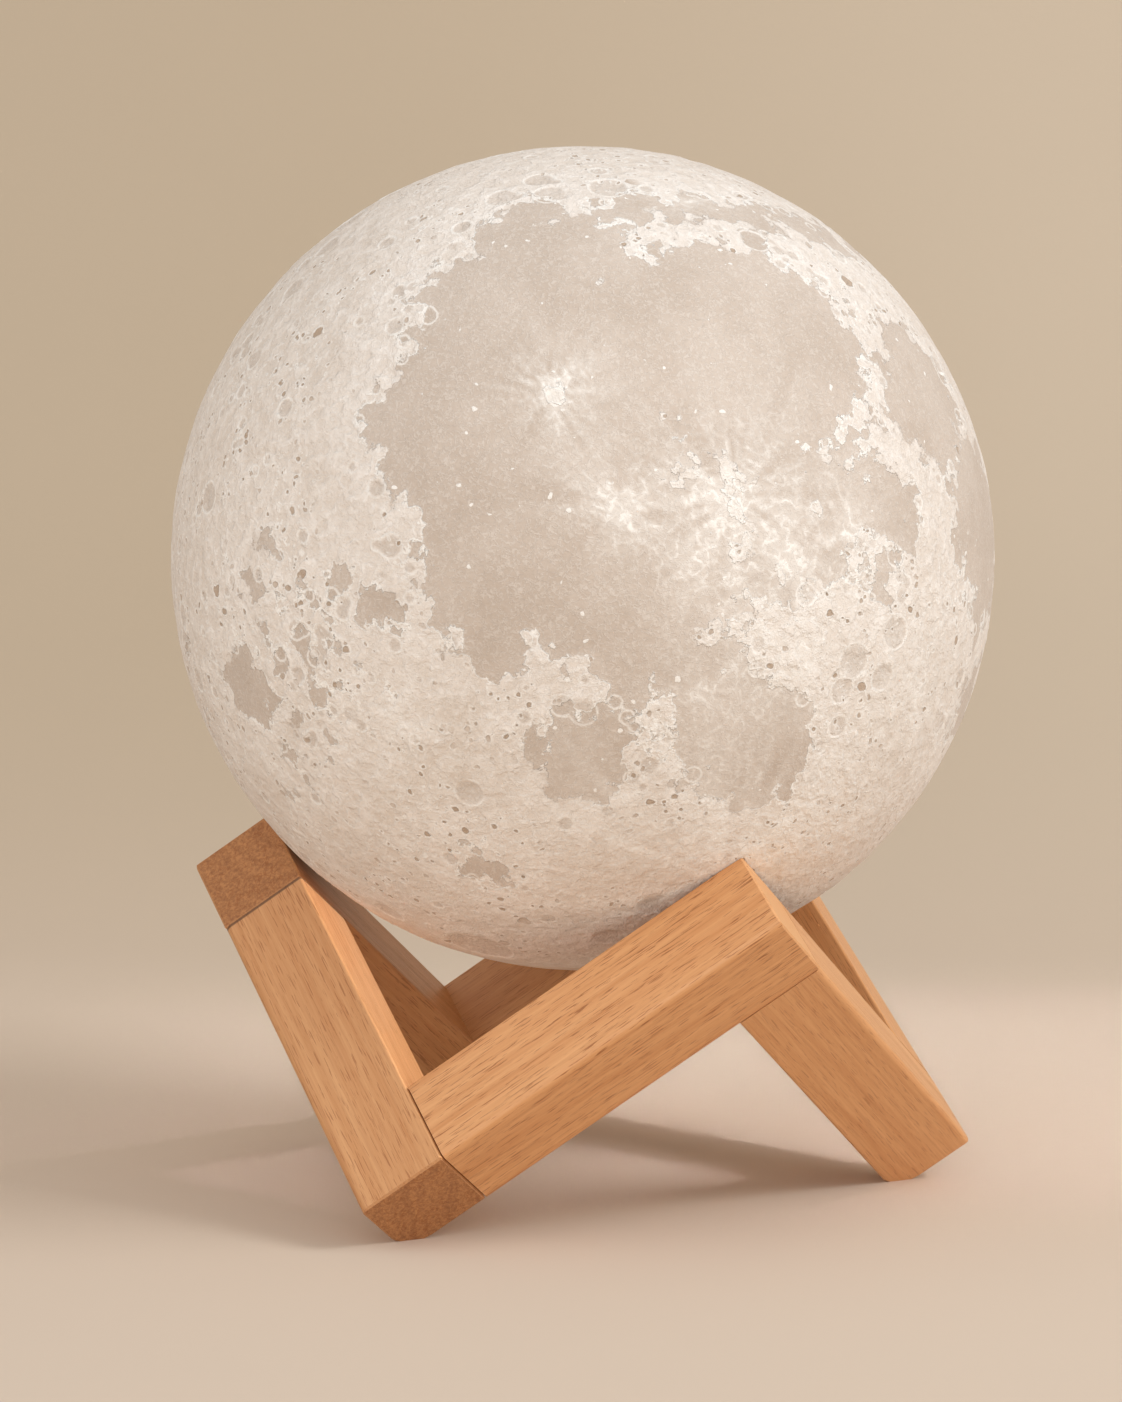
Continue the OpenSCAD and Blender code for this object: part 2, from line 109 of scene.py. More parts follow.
class MoonLampStage(bpy.types.PropertyGroup):
    """Floor sweep and lights."""

    floor: colour("Floor", "Painted floor", "#d9c9b8")
    # The wall's darker colour is painted shade on the rising sweep, and the bright wall is painted light
    # towards the key light
    wall: colour("Wall", "The sweep where it rises behind the lamp", "#c5b49d")
    wall_painted_light: colour("Bright wall", "The wall towards the key light", "#cebea9")
    wall_gap: length("Wall distance", "From the lamp to where the sweep starts to rise", 250)
    sweep_r: length("Sweep radius", "Curve between floor and wall", 500)
    key_power: FloatProperty(name="Key light", description="Power in watts", default=10.2)
    key_size: length("Key size", "Side of the soft box", 620)
    front_power: FloatProperty(name="Front light", description="Power in watts", default=4.8)
    front_size: length("Front size", "Side of the overhead front soft box", 1400)
    low_power: FloatProperty(name="Low light", description="Power in watts", default=5.6)
    low_tint: colour("Low light's colour", "Warm, as bounced off the floor", "#fff3e8")
    low_size: length("Low size", "Side of the low soft box in front", 900)
    inner_power: FloatProperty(name="Inner card", description="Power on the front left stick", default=24.0)
    outer_power: FloatProperty(name="Outer card", description="Power on the right sticks", default=3.0)
    spot_power: FloatProperty(name="Table spot", description="Power in watts", default=0.034)
    spot_size: length("Table spot size", "Side of the spot's lamp", 190)
    spot_spread: FloatProperty(
        name="Spot spread", description="Angle of the spot's beam", subtype="ANGLE", default=math.radians(5)
    )
    card_size: length("Card size", "Side of the cards that light the sticks from the right", 500)
    light_gap: length("Light distance", "From each light to what it looks at", 1500)
    sky: colour("Room light", "Even light from all round", "#fffdfb")
    sky_strength: FloatProperty(name="Room strength", description="Strength of room light", default=0.59)


class MoonLampGlobe(bpy.types.PropertyGroup):
    """Printed shell with the relief."""

    cuts: IntProperty(name="Grid cuts", description="Cuts along each side of the ball's grid", default=119)
    wall: length("Wall", "Thickness of the print", 1.6)
    rebate: length("Rebate depth", "Depth of the step for the neck ring's lip", 0.8)
    lip_w: length("Lip width", "Width of the neck ring's lip", 1.7)
    play: length("Play", "Between the neck ring and the shell's hole", 0.1)
    glue_gap: length("Glue line", "Round the neck ring, where the glue shows as a hairline", 0.03)
    sea_depth: length("Sea depth", "How far the seas lie below the highlands", 0.16)
    rough: length("Highland roughness", "Height of the highlands' swells", 0.14)
    highland: colour("Highland", "Matt cream of the raised parts", "#fdf8f3")
    highland_dull: colour("Dull highland", "Duller patches of the highlands", "#e1d5c9")
    sea: colour("Sea", "Taupe of the flat seas", "#d6c9bd")
    sea_dark: colour("Dark sea", "Darker patches of the seas", "#c7b8aa")
    # The crest colour serves the seas' dots and worms and the rays, which are light print, and the crests and
    # rims, which are painted highlights
    crest: colour("Crest", "Light crests, dots and rays", "#fffcf7")
    # Pits are tan with painted shade of their hollows in it
    pit: colour("Pit", "Tan of the pits", "#ab8c6b")


class MoonLampWood(bpy.types.PropertyGroup):
    """Beech of the stand."""

    light: colour("Light wood", "Pale growth bands", "#dea976")
    dark: colour("Dark wood", "Darker growth bands", "#bf814d")
    fleck: colour("Fleck", "Thin dark ray flecks", "#8f4e20")
    end: colour("End grain", "Sawn and sanded ends", "#bd8452")
    end_dark: colour("Dark end grain", "Darker speckle of the ends", "#94603a")
    # The glue line's colour is the glue's, darkened with painted shade of the joint's crease
    glue: colour("Glue line", "Dark line where a glued end meets its neighbour", "#54331c")
    band: length("Growth band", "Width of one growth band", 2.6)


class MoonLampModule(bpy.types.PropertyGroup):
    """Light module, neck ring and dowels."""

    birch: colour("Birch", "Turned dowels", "#dcbb8b")
    cream: colour("Cream plastic", "Printed ring and moulded module", "#ecdfd0")
    frosted: colour("Frosted plastic", "Diffuser dome", "#f7f5ef")
    steel: colour("Stainless steel", "Touch ring and port", "#c9c9c6")
    zinc: colour("Zinc", "Screws", "#a3a7ad")
    gold: colour("Gold plating", "Contacts", "#d8b45a")
    tin: colour("Tin", "Soldered ends", "#c4c4bf")
    glass: colour("Clear plastic", "Light pipe", "#eef4f6")
    carrier: colour("Black plastic", "Carriers and packages", "#2a2a2c")
    mask: colour("Solder mask", "Control board", "#2f6b45")
    coating: colour("White coating", "Light board and chip packages", "#efefeb")
    phosphor: colour("Phosphor", "Face of the light chips", "#f2d36b")
    foil: colour("Foil", "Battery pouch", "#9aa3ac")
    foam: colour("Foam", "Pad on the battery", "#4a4a4a")
    red: colour("Red silicone", "Battery lead", "#b8322a")
    black: colour("Black silicone", "Battery lead", "#262629")
    white: colour("White silicone", "Light leads", "#e8e6df")
    filler: colour("Filled silicone", "Heat pad", "#b9bec4")
    cushion: colour("Cushion silicone", "Ring under the module's edge", "#d9d5cb")


# ------------------------------------------------------------ helpers


def settings():
    """All of the lamp's settings."""
    return bpy.context.scene.moon_lamp


def live_output(node):
    """The first output of a node that is in use."""
    return next(s for s in node.outputs if s.enabled)


def socket_of(sockets, key):
    """A socket by its place, or by its name among those in use."""
    if isinstance(key, int):
        return sockets[key]
    return next(s for s in sockets if s.enabled and s.name == key)


def add(tree, kind, inputs=None, **options):
    """Adds a node, sets its options, and fills its sockets with values or other nodes' outputs."""
    made = tree.nodes.new("ShaderNode" + kind)
    for name, value in options.items():
        setattr(made, name, value)
    for key, value in (inputs or {}).items():
        target = socket_of(made.inputs, key)
        if isinstance(value, bpy.types.Node):
            value = live_output(value)
        if isinstance(value, bpy.types.NodeSocket):
            tree.links.new(value, target)
        else:
            target.default_value = value
    return made


def new_finish(name):
    """An empty material, its node tree and its surface shader."""
    made = bpy.data.materials.new(name)
    made.use_nodes = True
    tree = made.node_tree
    tree.nodes.clear()
    surface = add(tree, "BsdfPrincipled")
    add(tree, "OutputMaterial", {"Surface": surface})
    return made, tree, surface


def finish_with(tree, surface, **values):
    """Sets the surface shader's sockets, by names with underscores for spaces."""
    for key, value in values.items():
        target = surface.inputs[key.replace("_", " ")]
        if isinstance(value, bpy.types.Node):
            tree.links.new(live_output(value), target)
        else:
            target.default_value = value


# Shared settings of nodes that map a range: an S-shaped ramp, and a ramp that falls from 1 to 0
SMOOTH = {"interpolation_type": "SMOOTHSTEP"}
FALLING = {"To Min": 1.0, "To Max": 0.0}
RIDGED = "RIDGED_MULTIFRACTAL"
# Scale of a wave texture whose waves are 1 mm apart, because it has 20 / (2 pi) waves per unit
WAVE_MM = math.pi / 10


def cloud(tree, place, look, span, values=(0.0, 1.0), shape="LINEAR", kind="FBM"):
    """Noise over a place: the ends of its span become the two values, and so does what lies beyond.

    Places are in mm, so a look's Scale is the number of its largest lumps per mm.
    """
    lumps = add(tree, "TexNoise", {"Vector": place, **look}, noise_type=kind)
    limits = {"From Min": span[0], "From Max": span[1], "To Min": values[0], "To Max": values[1]}
    return add(tree, "MapRange", {"Value": lumps, **limits}, interpolation_type=shape)


def gap_from(tree, field, value):
    """How far a field is from a value, either way."""
    off = add(tree, "Math", {0: field, 1: value}, operation="SUBTRACT")
    return add(tree, "Math", {0: off}, operation="ABSOLUTE")


def summed(tree, parts):
    """Sum of fields, each times its amount."""
    total = None
    for field, amount in parts:
        part = add(tree, "Math", {0: field, 1: amount}, operation="MULTIPLY")
        total = add(tree, "Math", {0: total, 1: part}, operation="ADD") if total else part
    return total


def two_tones(tree, factor, shade, dull, saturation=1.0):
    """A shade where the factor is 1, and its duller copy where the factor is 0."""
    duller = add(tree, "HueSaturation", {"Color": shade, "Value": dull, "Saturation": saturation})
    return add(tree, "Mix", {"Factor": factor, "A": duller, "B": shade}, data_type="RGBA")


def dress(node_name, material):
    """Gives a CAD node its material."""
    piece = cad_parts[node_name]
    piece.data.materials.clear()
    piece.data.materials.append(material)


def place_mesh(name, mesh_data, material):
    """Puts a finished mesh in the scene as a piece at the origin."""
    mesh = bpy.data.meshes.new(name)
    mesh_data.to_mesh(mesh)
    mesh_data.free()
    mesh.materials.append(material)
    piece = bpy.data.objects.new(name, mesh)
    bpy.context.scene.collection.objects.link(piece)
    return piece


def camera_axes():
    """The camera's right, up and backward directions."""
    cam = settings().camera
    a, e = cam.azimuth, cam.elevation
    right = Vector((math.cos(a), math.sin(a), 0))
    back = Vector((math.sin(a) * math.cos(e), -math.cos(a) * math.cos(e), math.sin(e)))
    return right, back.cross(right), back


# ------------------------------------------------------------ the moon's relief

# Places on the moon are latitude and longitude in degrees, and radii are degrees too.
SEAS = (
    (33, -16, 18.9), (28, 17.5, 10.5), (9, 26, 8), (6, 36, 9), (14, 32, 8), (2, 30, 6), (17, 59, 8.5),
    (-4, 50, 8), (-12, 53, 7), (-15, 35, 5.5), (-20, -16, 9), (-24, -12, 6), (-17, -22, 6),
    (-24, -39, 6.9), (-10, -23, 6), (7, -31, 8), (13, 3.6, 4), (56, -36, 3.5), (57.5, -26, 3.2),
    (58.5, -13, 3.2), (57.5, 0, 3.6), (56, 12, 4), (54, 24, 4), (52, 34, 3.5), (45, -48, 9),
    (12, -3, 4.5), (9.2, 3.2, 4), (6, -10, 5), (1.3, -17, 5), (1, -25, 5), (11, -17, 6.5), (5, -16, 4),
    (38, -60, 8), (47, -59, 7), (38, -67, 6), (28, -57, 12), (18, -55, 13), (8, -52, 12), (-2, -50, 10),
    (20, -65, 8),
    (44, -31, 4), (54, -56, 4), (12, -8, 4.5), (2, 1, 3.5), (57, 82, 4), (13, 86, 5), (-1, 87, 5.5),
    (30, -38, 9), (20, -40, 10), (12, -42, 9), (40, -42, 6), (-2, -38, 9), (-8, -32, 7), (0, -27, 7),
    (-12, -30, 6), (12, -26, 5), (-14, -20, 6),
    (-19, -95, 5), (27, 148, 4), (-34, 163, 4), (-20, 129, 2.5), (-36, -151, 3),
)
# Bright broken ground inside the seas
ISLANDS = (
    (23.7, -47.5, 2.0), (-9, -17, 4), (-3, -17, 3), (-14, -31, 2.5),
    (-6, -24, 2.5), (46, -38, 3), (15, -29, 1.5), (41, -42, 2.2),
    # The mountain chain round the round northern sea, from its north side to its south-east
    (50, -32, 2.4), (51, -27, 2.6), (52, -21.4, 2.8), (52.3, -15, 2.8), (51.8, -8.4, 3), (49.5, -3.5, 2.8),
    (47.5, -0.2, 2.8), (44, 2.5, 2.6), (40.6, 4.8, 2.6), (37, 6.8, 2.4), (33.5, 6.6, 2.4), (30.6, 5, 2.4),
    (27.5, 2.7, 2.6), (24.7, 0, 2.8), (22, -4, 2.6), (19.7, -7.2, 2.6), (17.2, -11.9, 2),
)
# Small dark flat patches, each with a clean edge
PATCHES = (
    (-5.5, -68.3, 2.9), (-3, -74.6, 1.6), (-17, -67, 0.8), (-44, -55, 3.4), (51.6, -8.4, 1.65),
    (29.7, -4, 1.4), (53.9, 57, 2),
)
# Craters that are placed one by one
CRATERS = (
    (-58, -14, 3.7), (-9, -2, 2.5), (-13, -3, 1.9), (-18, -2, 1.6), (-11.5, 26, 1.65),
    (-18, 24, 1.65), (-9, 61, 2.1), (-25, 60, 3), (-45, 41, 3), (-50, -6, 2.7), (-49.5, -21.7, 2.4),
    (-17.6, -40, 1.8), (62, -42, 2.7), (63, -63, 2.1), (59, -57, 2.3), (2, -67, 1.7), (-67, -69, 4.9),
    (-5, 5, 2.4), (-11, 4, 2.1), (32, 30, 1.6), (50, 17, 1.4), (44, 16, 1.1), (11.5, -22.1, 1.3),
    (51.6, -8.4, 2.2),
)
# Ray craters: place, reach of the rays, and strength
RAY_CRATERS = (
    (11.5, -22.1, 16, 0.9), (9.2, -37.5, 10, 0.9), (8.3, -4.4, 9, 0.6), (23.7, -47.5, 8, 1.0),
    (-43, -11, 34, 1.0), (4, -14, 13, 0.6),
    (-8, -10, 13, 0.6), (-12, 12, 14, 0.4), (2, -28, 8, 0.45), (-14, -24, 9, 0.4),
    (-8.9, 61, 9, 0.5), (16, 46.8, 7, 0.7), (-16.3, 13.4, 4, 0.5), (-32, 61, 9, 0.5),
    (-21, -66, 8, 0.6), (49, 16, 6, 0.4), (60, -20, 7, 0.4),
)
# The great ringed basin on the western limb, and the dark arcs in it: radius, start, end and middling
# half width. The width swells and shrinks along the arc, so an arc of half width 0 shows in stretches
BASIN = (-19, -95)
BASIN_ARCS = ((10.5, 20, 160, 0.1), (15.2, 5, 110, 0.0), (15.2, 130, 185, 0.0), (21, 20, 95, -0.2))
# How the map sits on the globe, in degrees: round its own axis, to the side, and to the camera
MAP_TURN = -16.85
NORTH_TILT = -4.1
NORTH_NOD = -2.2
DEGREE_MM = math.radians(1) * GLOBE_R * PER_MM


def map_turn():
    """Turns the moon's own axes to the way the globe sits in its stand."""
    a = settings().camera.azimuth
    right = Vector((math.cos(a), math.sin(a), 0))
    back = Vector((math.sin(a), -math.cos(a), 0))
    nod = Matrix.Rotation(math.radians(NORTH_NOD), 3, right)
    return Matrix.Rotation(math.radians(NORTH_TILT), 3, back) @ nod


def on_globe(places):
    """Unit vectors from the globe's middle to places given by latitude and longitude."""
    lat = np.radians([p[0] for p in places])
    lon = np.radians([p[1] + MAP_TURN for p in places])
    local = np.stack([np.cos(lat) * np.cos(lon), np.cos(lat) * np.sin(lon), np.sin(lat)], axis=1)
    return local @ np.array(map_turn()).T


def degrees_between(points, place):
    """Angles in degrees from every point to one place."""
    return np.degrees(np.arccos(np.clip(points @ place, -1, 1)))


def swell(points, size_mm, octaves, shift=0.0):
    """Smooth seeded noise over the globe, about -1 to 1, with features of the given size."""
    scale = GLOBE_R * PER_MM / size_mm
    place = points * scale + shift
    # How fast the octaves weaken, and how much finer each one is than the last
    fade, finer = 0.9, 2.1
    return np.array([noise.fractal(p, fade, finer, octaves) for p in place.tolist()])


def smooth_step(values, low, high):
    """0 below low, 1 above high, and a smooth rise between."""
    t = np.clip((values - low) / (high - low), 0, 1)
    return t * t * (3 - 2 * t)


def sea_field(points):
    """Distance inside the seas' coasts in degrees, with the round basins blended together."""
    # The higher it is, the less a basin swells where it meets its neighbours
    sharp = 1.1
    total = np.zeros(len(points))
    for place, (_, _, radius) in zip(on_globe(SEAS), SEAS):
        total += np.exp(np.clip(sharp * (radius - degrees_between(points, place)), -30, 30))
    field = np.log(total + 1e-9) / sharp
    # An island pushes the field down, the more so the deeper in a sea it stands
    for place, (_, _, radius) in zip(on_globe(ISLANDS), ISLANDS):
        hump = np.exp(-((degrees_between(points, place) / radius) ** 2))
        field -= hump * (1.0 + np.clip(field, 0, 6))
    # The coasts wander in bays of 16 mm, and in headlands of 5 mm and finer
    field += 1.7 * swell(points, 16, 3) + 1.2 * swell(points, 5, 4, 40.0)
    for place, (_, _, radius) in zip(on_globe(PATCHES), PATCHES):
        field = np.maximum(field, radius - degrees_between(points, place))
    # The basin's arcs go by the turn round its middle and taper off at both ends
    west = on_globe((BASIN,))[0]
    reach = degrees_between(points, west)
    north = on_globe(((90, 0),))[0]
    east_axis = np.cross(north, west)
    east_axis /= np.linalg.norm(east_axis)
    turn = np.degrees(np.arctan2(points @ east_axis, points @ np.cross(west, east_axis)))
    for radius, start, end, half in BASIN_ARCS:
        width = half + 0.6 * swell(points, 6, 2, 90.0)
        ends = np.minimum(turn - start, end - turn) * 0.25
        field = np.maximum(field, np.minimum(width - np.abs(reach - radius), ends))
    return field


def ray_field(points):
    """Brightness of the light splashes round the young craters, 0 to 1."""
    total = np.zeros(len(points))
    for i, (place, (_, _, reach, strength)) in enumerate(zip(on_globe(RAY_CRATERS), RAY_CRATERS)):
        away = degrees_between(points, place)
        near = away < reach * 1.6
        if not near.any():
            continue
        side = np.cross(place, (0, 0, 1.0))
        side /= np.linalg.norm(side)
        turn = np.arctan2(points[near] @ side, points[near] @ np.cross(place, side))
        spokes = [
            noise.fractal((math.cos(t) * 5.5 + i * 7, math.sin(t) * 5.5, d * 0.03), 0.6, 2.3, 4)
            for t, d in zip(turn.tolist(), away[near].tolist())
        ]
        # Uneven spokes that fade outwards, and a bright core
        fall = np.exp(-((away[near] / reach) ** 1.3) * 2.0)
        core = np.exp(-((away[near] / (0.2 * reach)) ** 2)) * min(1, 17 / reach)
        total[near] += strength * (fall * np.clip(0.6 + 1.4 * np.array(spokes), 0, 1.4) + 0.7 * core)
    return np.clip(total, 0, 1)


def crater_list(rng):
    """Placed craters and seeded ones as unit vectors and radii in mm. The far side has most of them."""
    places = on_globe(CRATERS)
    radii = [c[2] * DEGREE_MM for c in CRATERS]
    middle = on_globe(((0, 0),))[0]
    # Seeded ones: how many are tried, least and greatest radius in mm, and if they crowd the coasts
    for count, least, most, shore in ((1500, 1.0, 3.4, False), (2600, 1.0, 2.0, True)):
        strewn = rng.normal(size=(count, 3))
        strewn /= np.linalg.norm(strewn, axis=1)[:, None]
        sizes = least * (1 - rng.random(count)) ** (-0.42)
        inland = sea_field(strewn)
        chance = rng.random(count)
        thinned = chance < np.where(strewn @ middle < -0.1, 1.0, 0.2)
        wanted = np.abs(inland + 1.2) < 1.6 if shore else (inland < -2) & thinned
        keep = wanted & (sizes < most)
        places = np.vstack([places, strewn[keep]])
        radii = np.concatenate([radii, sizes[keep]])
    return places, radii


def relief(points):
    """Height of the relief in mm and the fields that the material reads, at points of the ball."""
    rng = np.random.default_rng(41)
    sea = sea_field(points) * DEGREE_MM
    rays = ray_field(points)
    places, radii = crater_list(rng)
    # Distance outside the nearest crater's edge in mm, and 9 where no crater is near
    crater = np.full(len(points), 9.0)
    bowls = np.zeros(len(points))
    for place, radius in zip(places, radii):
        cosine = points @ place
        near = np.nonzero(cosine > math.cos(radius * 2.2 / (GLOBE_R * PER_MM)))[0]
        away = np.arccos(np.clip(cosine[near], -1, 1)) * GLOBE_R * PER_MM
        crater[near] = np.minimum(crater[near], away - radius)
        # A bowl with a raised rim, and small bowls are the steeper ones
        t = away / radius
        depth = 0.14 * radius**0.75
        bowl = -depth * np.clip(1 - t**4, 0, 1) + 0.3 * depth * np.exp(-(((t - 1.12) / 0.2) ** 2))
        bowls[near] += bowl
    lamp = settings().globe
    dry = 1 - smooth_step(sea, -1.5, 1.5)
    height = -lamp.sea_depth * PER_MM * (1 - dry)
    height += lamp.rough * PER_MM * dry * swell(points, 7, 4, 15.0)
    height += 0.25 * lamp.rough * PER_MM * swell(points, 22, 2, 5.0)
    height += np.clip(bowls, -0.55, 0.25) * (0.35 + 0.65 * dry)
    return height, {"sea": sea, "ray": rays, "crater": crater}


def globe_grid(cuts):
    """A cube's grid pushed out to a unit ball, its rows evened by the tangent rule."""
    grid = bmesh.new()
    bmesh.ops.create_cube(grid, size=2)
    bmesh.ops.subdivide_edges(grid, edges=grid.edges[:], cuts=cuts, use_grid_fill=True)
    for v in grid.verts:
        v.co = Vector([math.tan(c * math.pi / 4) for c in v.co]).normalized()
    return grid


def boundary(grid):
    """The open edges of a mesh."""
    return [e for e in grid.edges if e.is_boundary]


def relief_skin(rebate_r):
    """The globe's outside with its relief, round the globe's own middle, open where the neck ring sits."""
    grid = globe_grid(settings().globe.cuts)
    bmesh.ops.bisect_plane(
        grid,
        geom=grid.verts[:] + grid.edges[:] + grid.faces[:],
        plane_co=(0, 0, -math.sqrt(GLOBE_R**2 - rebate_r**2) / GLOBE_R),
        plane_no=(0, 0, -1),
        clear_outer=True,
        dist=1e-4,
    )
    # The cut leaves some points of the rim less than 0.2 mm apart, which are merged
    rim = list({v for e in boundary(grid) for v in e.verts})
    bmesh.ops.remove_doubles(grid, verts=rim, dist=0.003)
    grid.verts.index_update()
    points = np.array([v.co[:] for v in grid.verts])
    points /= np.linalg.norm(points, axis=1)[:, None]
    height, fields = relief(points)
    # The relief fades out over the last three degrees above the neck ring
    neck_deg = math.degrees(math.asin(rebate_r / GLOBE_R))
    away = degrees_between(points, np.array((0, 0, -1.0)))
    height *= smooth_step(away, neck_deg, neck_deg + 3)
    layers = {name: grid.verts.layers.float.new(name) for name in fields}
    for v, p, h, *values in zip(grid.verts, points.tolist(), height, *fields.values()):
        v.co = Vector(p) * (GLOBE_R + h * MM)
        for layer, value in zip(layers.values(), values):
            v[layer] = value
    return grid


def add_inside(grid, rebate_r):
    """Adds the rebate, the neck hole and the smooth inner wall to the skin, ring by ring."""
    lamp = settings().globe
    hole_r = LIP_R - lamp.lip_w + lamp.play
    inner_r = GLOBE_R - lamp.wall
    step_r = GLOBE_R - lamp.rebate
    # Each ring has its radius and either the ball that it lies on, for the first three, or its height
    rings = [(rebate_r, step_r), (hole_r, step_r), (hole_r, inner_r)]
    rows = 40
    first = math.asin(hole_r / inner_r)
    for k in range(1, rows):
        angle = first + (math.pi - first) * k / rows
        rings.append((inner_r * math.sin(angle), -inner_r * math.cos(angle)))
    for v in {v for e in boundary(grid) for v in e.verts}:
        flat = v.co.xy.normalized() * rebate_r
        v.co = (flat.x, flat.y, -math.sqrt(GLOBE_R**2 - rebate_r**2))
    for k, (radius, where) in enumerate(rings):
        if k < 4:
            for edge in boundary(grid):
                edge.smooth = False
        made = bmesh.ops.extrude_edge_only(grid, edges=boundary(grid))
        low = -math.sqrt(where**2 - radius**2) if k < 3 else where
        for v in (g for g in made["geom"] if isinstance(g, bmesh.types.BMVert)):
            flat = v.co.xy.normalized() * radius
            v.co = (flat.x, flat.y, low)
    last = list({v for e in boundary(grid) for v in e.verts})
    bmesh.ops.pointmerge(grid, verts=last, merge_co=(0, 0, inner_r))


def globe_mesh():
    """Closed printed shell: relief outside, rebate and neck hole below, smooth wall inside."""
    rebate_r = LIP_R + settings().globe.glue_gap
    grid = relief_skin(rebate_r)
    add_inside(grid, rebate_r)
    bmesh.ops.recalc_face_normals(grid, faces=grid.faces[:])
    bmesh.ops.translate(grid, verts=grid.verts[:], vec=GLOBE_MID)
    for face in grid.faces:
        face.smooth = True
    return grid


def coast_and_craters(tree, place, sea, crater):
    """The ragged coast of the seas, its raised crest, and the craters' rings and floors: the crest and rings
    are painted highlights, the floors painted shade.
    """
    # The smooth field is pushed up to 4.2 mm either way by noise with lumps of 4 mm and finer
    ragged = add(tree, "TexNoise", {"Vector": place, "Scale": 0.24, "Detail": 4.5, "Roughness": 0.58})
    push = add(tree, "MapRange", {"Value": ragged, "From Min": 0.3, "From Max": 0.7,
                                  "To Min": -4.2, "To Max": 4.2}, clamp=False)
    coast = add(tree, "Math", {0: sea, 1: push}, operation="ADD")

    # The crest stands on the land side of the coast, broken here and there, and is painted lighter as a
    # highlight on the raised lip
    crest_line = add(tree, "MapRange", {"Value": gap_from(tree, coast, -0.42), "From Min": 0.15,
                                        "From Max": 0.95, **FALLING}, **SMOOTH)
    breaks = cloud(tree, place, {"Scale": 0.11, "Detail": 2.0}, (0.38, 0.55))
    crest = add(tree, "Math", {0: crest_line, 1: breaks}, operation="MULTIPLY")

    # Rings and floors go by the distance outside the nearest crater's edge. The rings are painted highlights
    # on the rims, and the floors painted shade in the bowls
    ring_line = add(tree, "MapRange", {"Value": gap_from(tree, crater, 0.0), "From Min": 0.05,
                                       "From Max": 0.36, **FALLING}, **SMOOTH)
    ring_break = add(tree, "MapRange", {"Value": ragged, "From Min": 0.36, "From Max": 0.55})
    ring = add(tree, "Math", {0: ring_line, 1: ring_break}, operation="MULTIPLY")
    floor = add(tree, "MapRange", {"Value": crater, "From Min": -0.6, "From Max": -0.2, **FALLING}, **SMOOTH)
    return coast, crest, ring, floor


def highland_pits(tree, place, bent, dry):
    """Small pits of the highlands and their rims, in swarms of a centimetre or two. The pits' tan holds
    painted shade of their hollows, and the rims are painted highlights.
    """
    pits, rims = [], []
    # Size of the cells in mm. A cell's pit has a radius from -least, which is no pit, to least + spread
    for cell, least, spread in ((1.5, 0.12, 0.36), (3.0, 0.25, 0.5), (8.0, 0.3, 1.0)):
        cells = add(tree, "TexVoronoi", {"Vector": bent, "Scale": 1 / cell, "Randomness": 1.0})
        pick = add(tree, "SeparateColor", {"Color": cells.outputs["Color"]})
        radius = add(tree, "MapRange", {"Value": pick.outputs[0], "From Min": 0.35, "From Max": 1.0,
                                        "To Min": -least, "To Max": least + spread})
        away = add(tree, "Math", {0: cells.outputs["Distance"], 1: cell}, operation="MULTIPLY")
        gap = add(tree, "Math", {0: away, 1: radius}, operation="SUBTRACT")
        pit = add(tree, "MapRange", {"Value": gap, "From Min": -0.12, "From Max": 0.06, **FALLING}, **SMOOTH)
        # The rim round each pit is a painted highlight on its raised edge
        rim = add(tree, "MapRange", {"Value": gap_from(tree, gap, 0.2), "From Min": 0.02,
                                     "From Max": 0.2, **FALLING}, **SMOOTH)
        pits.append(add(tree, "Math", {0: pit, 1: dry}, operation="MULTIPLY"))
        rims.append(add(tree, "Math", {0: rim, 1: dry}, operation="MULTIPLY"))
    swarm = cloud(tree, place, {"Scale": 0.075, "Detail": 2.0}, (0.42, 0.58), (0.15, 1.0))
    shown = []
    for marks in (pits, rims):
        strongest = marks[0]
        for mark in marks[1:]:
            strongest = add(tree, "Math", {0: strongest, 1: mark}, operation="MAXIMUM")
        shown.append(add(tree, "Math", {0: strongest, 1: swarm}, operation="MULTIPLY"))
    return shown


def sea_marks(tree, place, bent, wet):
    """Light dots of the seas, one or none in each 2.9 mm cell, and fine worm-like lines."""
    dots = add(tree, "TexVoronoi", {"Vector": bent, "Scale": 1 / 2.9, "Randomness": 1.0})
    pick = add(tree, "SeparateColor", {"Color": dots.outputs["Color"]})
    radius = add(tree, "MapRange", {"Value": pick.outputs[0], "From Min": 0.3, "To Max": 0.17})
    gap = add(tree, "Math", {0: dots.outputs["Distance"], 1: radius}, operation="SUBTRACT")
    dot = add(tree, "MapRange", {"Value": gap, "From Min": -0.03, "From Max": 0.02, **FALLING}, **SMOOTH)
    sea_dot = add(tree, "Math", {0: dot, 1: wet}, operation="MULTIPLY")
    worms = add(tree, "TexNoise", {"Vector": place, "Scale": 1.0, "Detail": 2.5, "Distortion": 0.6})
    worm = add(tree, "MapRange", {"Value": gap_from(tree, worms, 0.5), "From Min": 0.008,
                                  "From Max": 0.06, **FALLING}, **SMOOTH)
    return sea_dot, worm


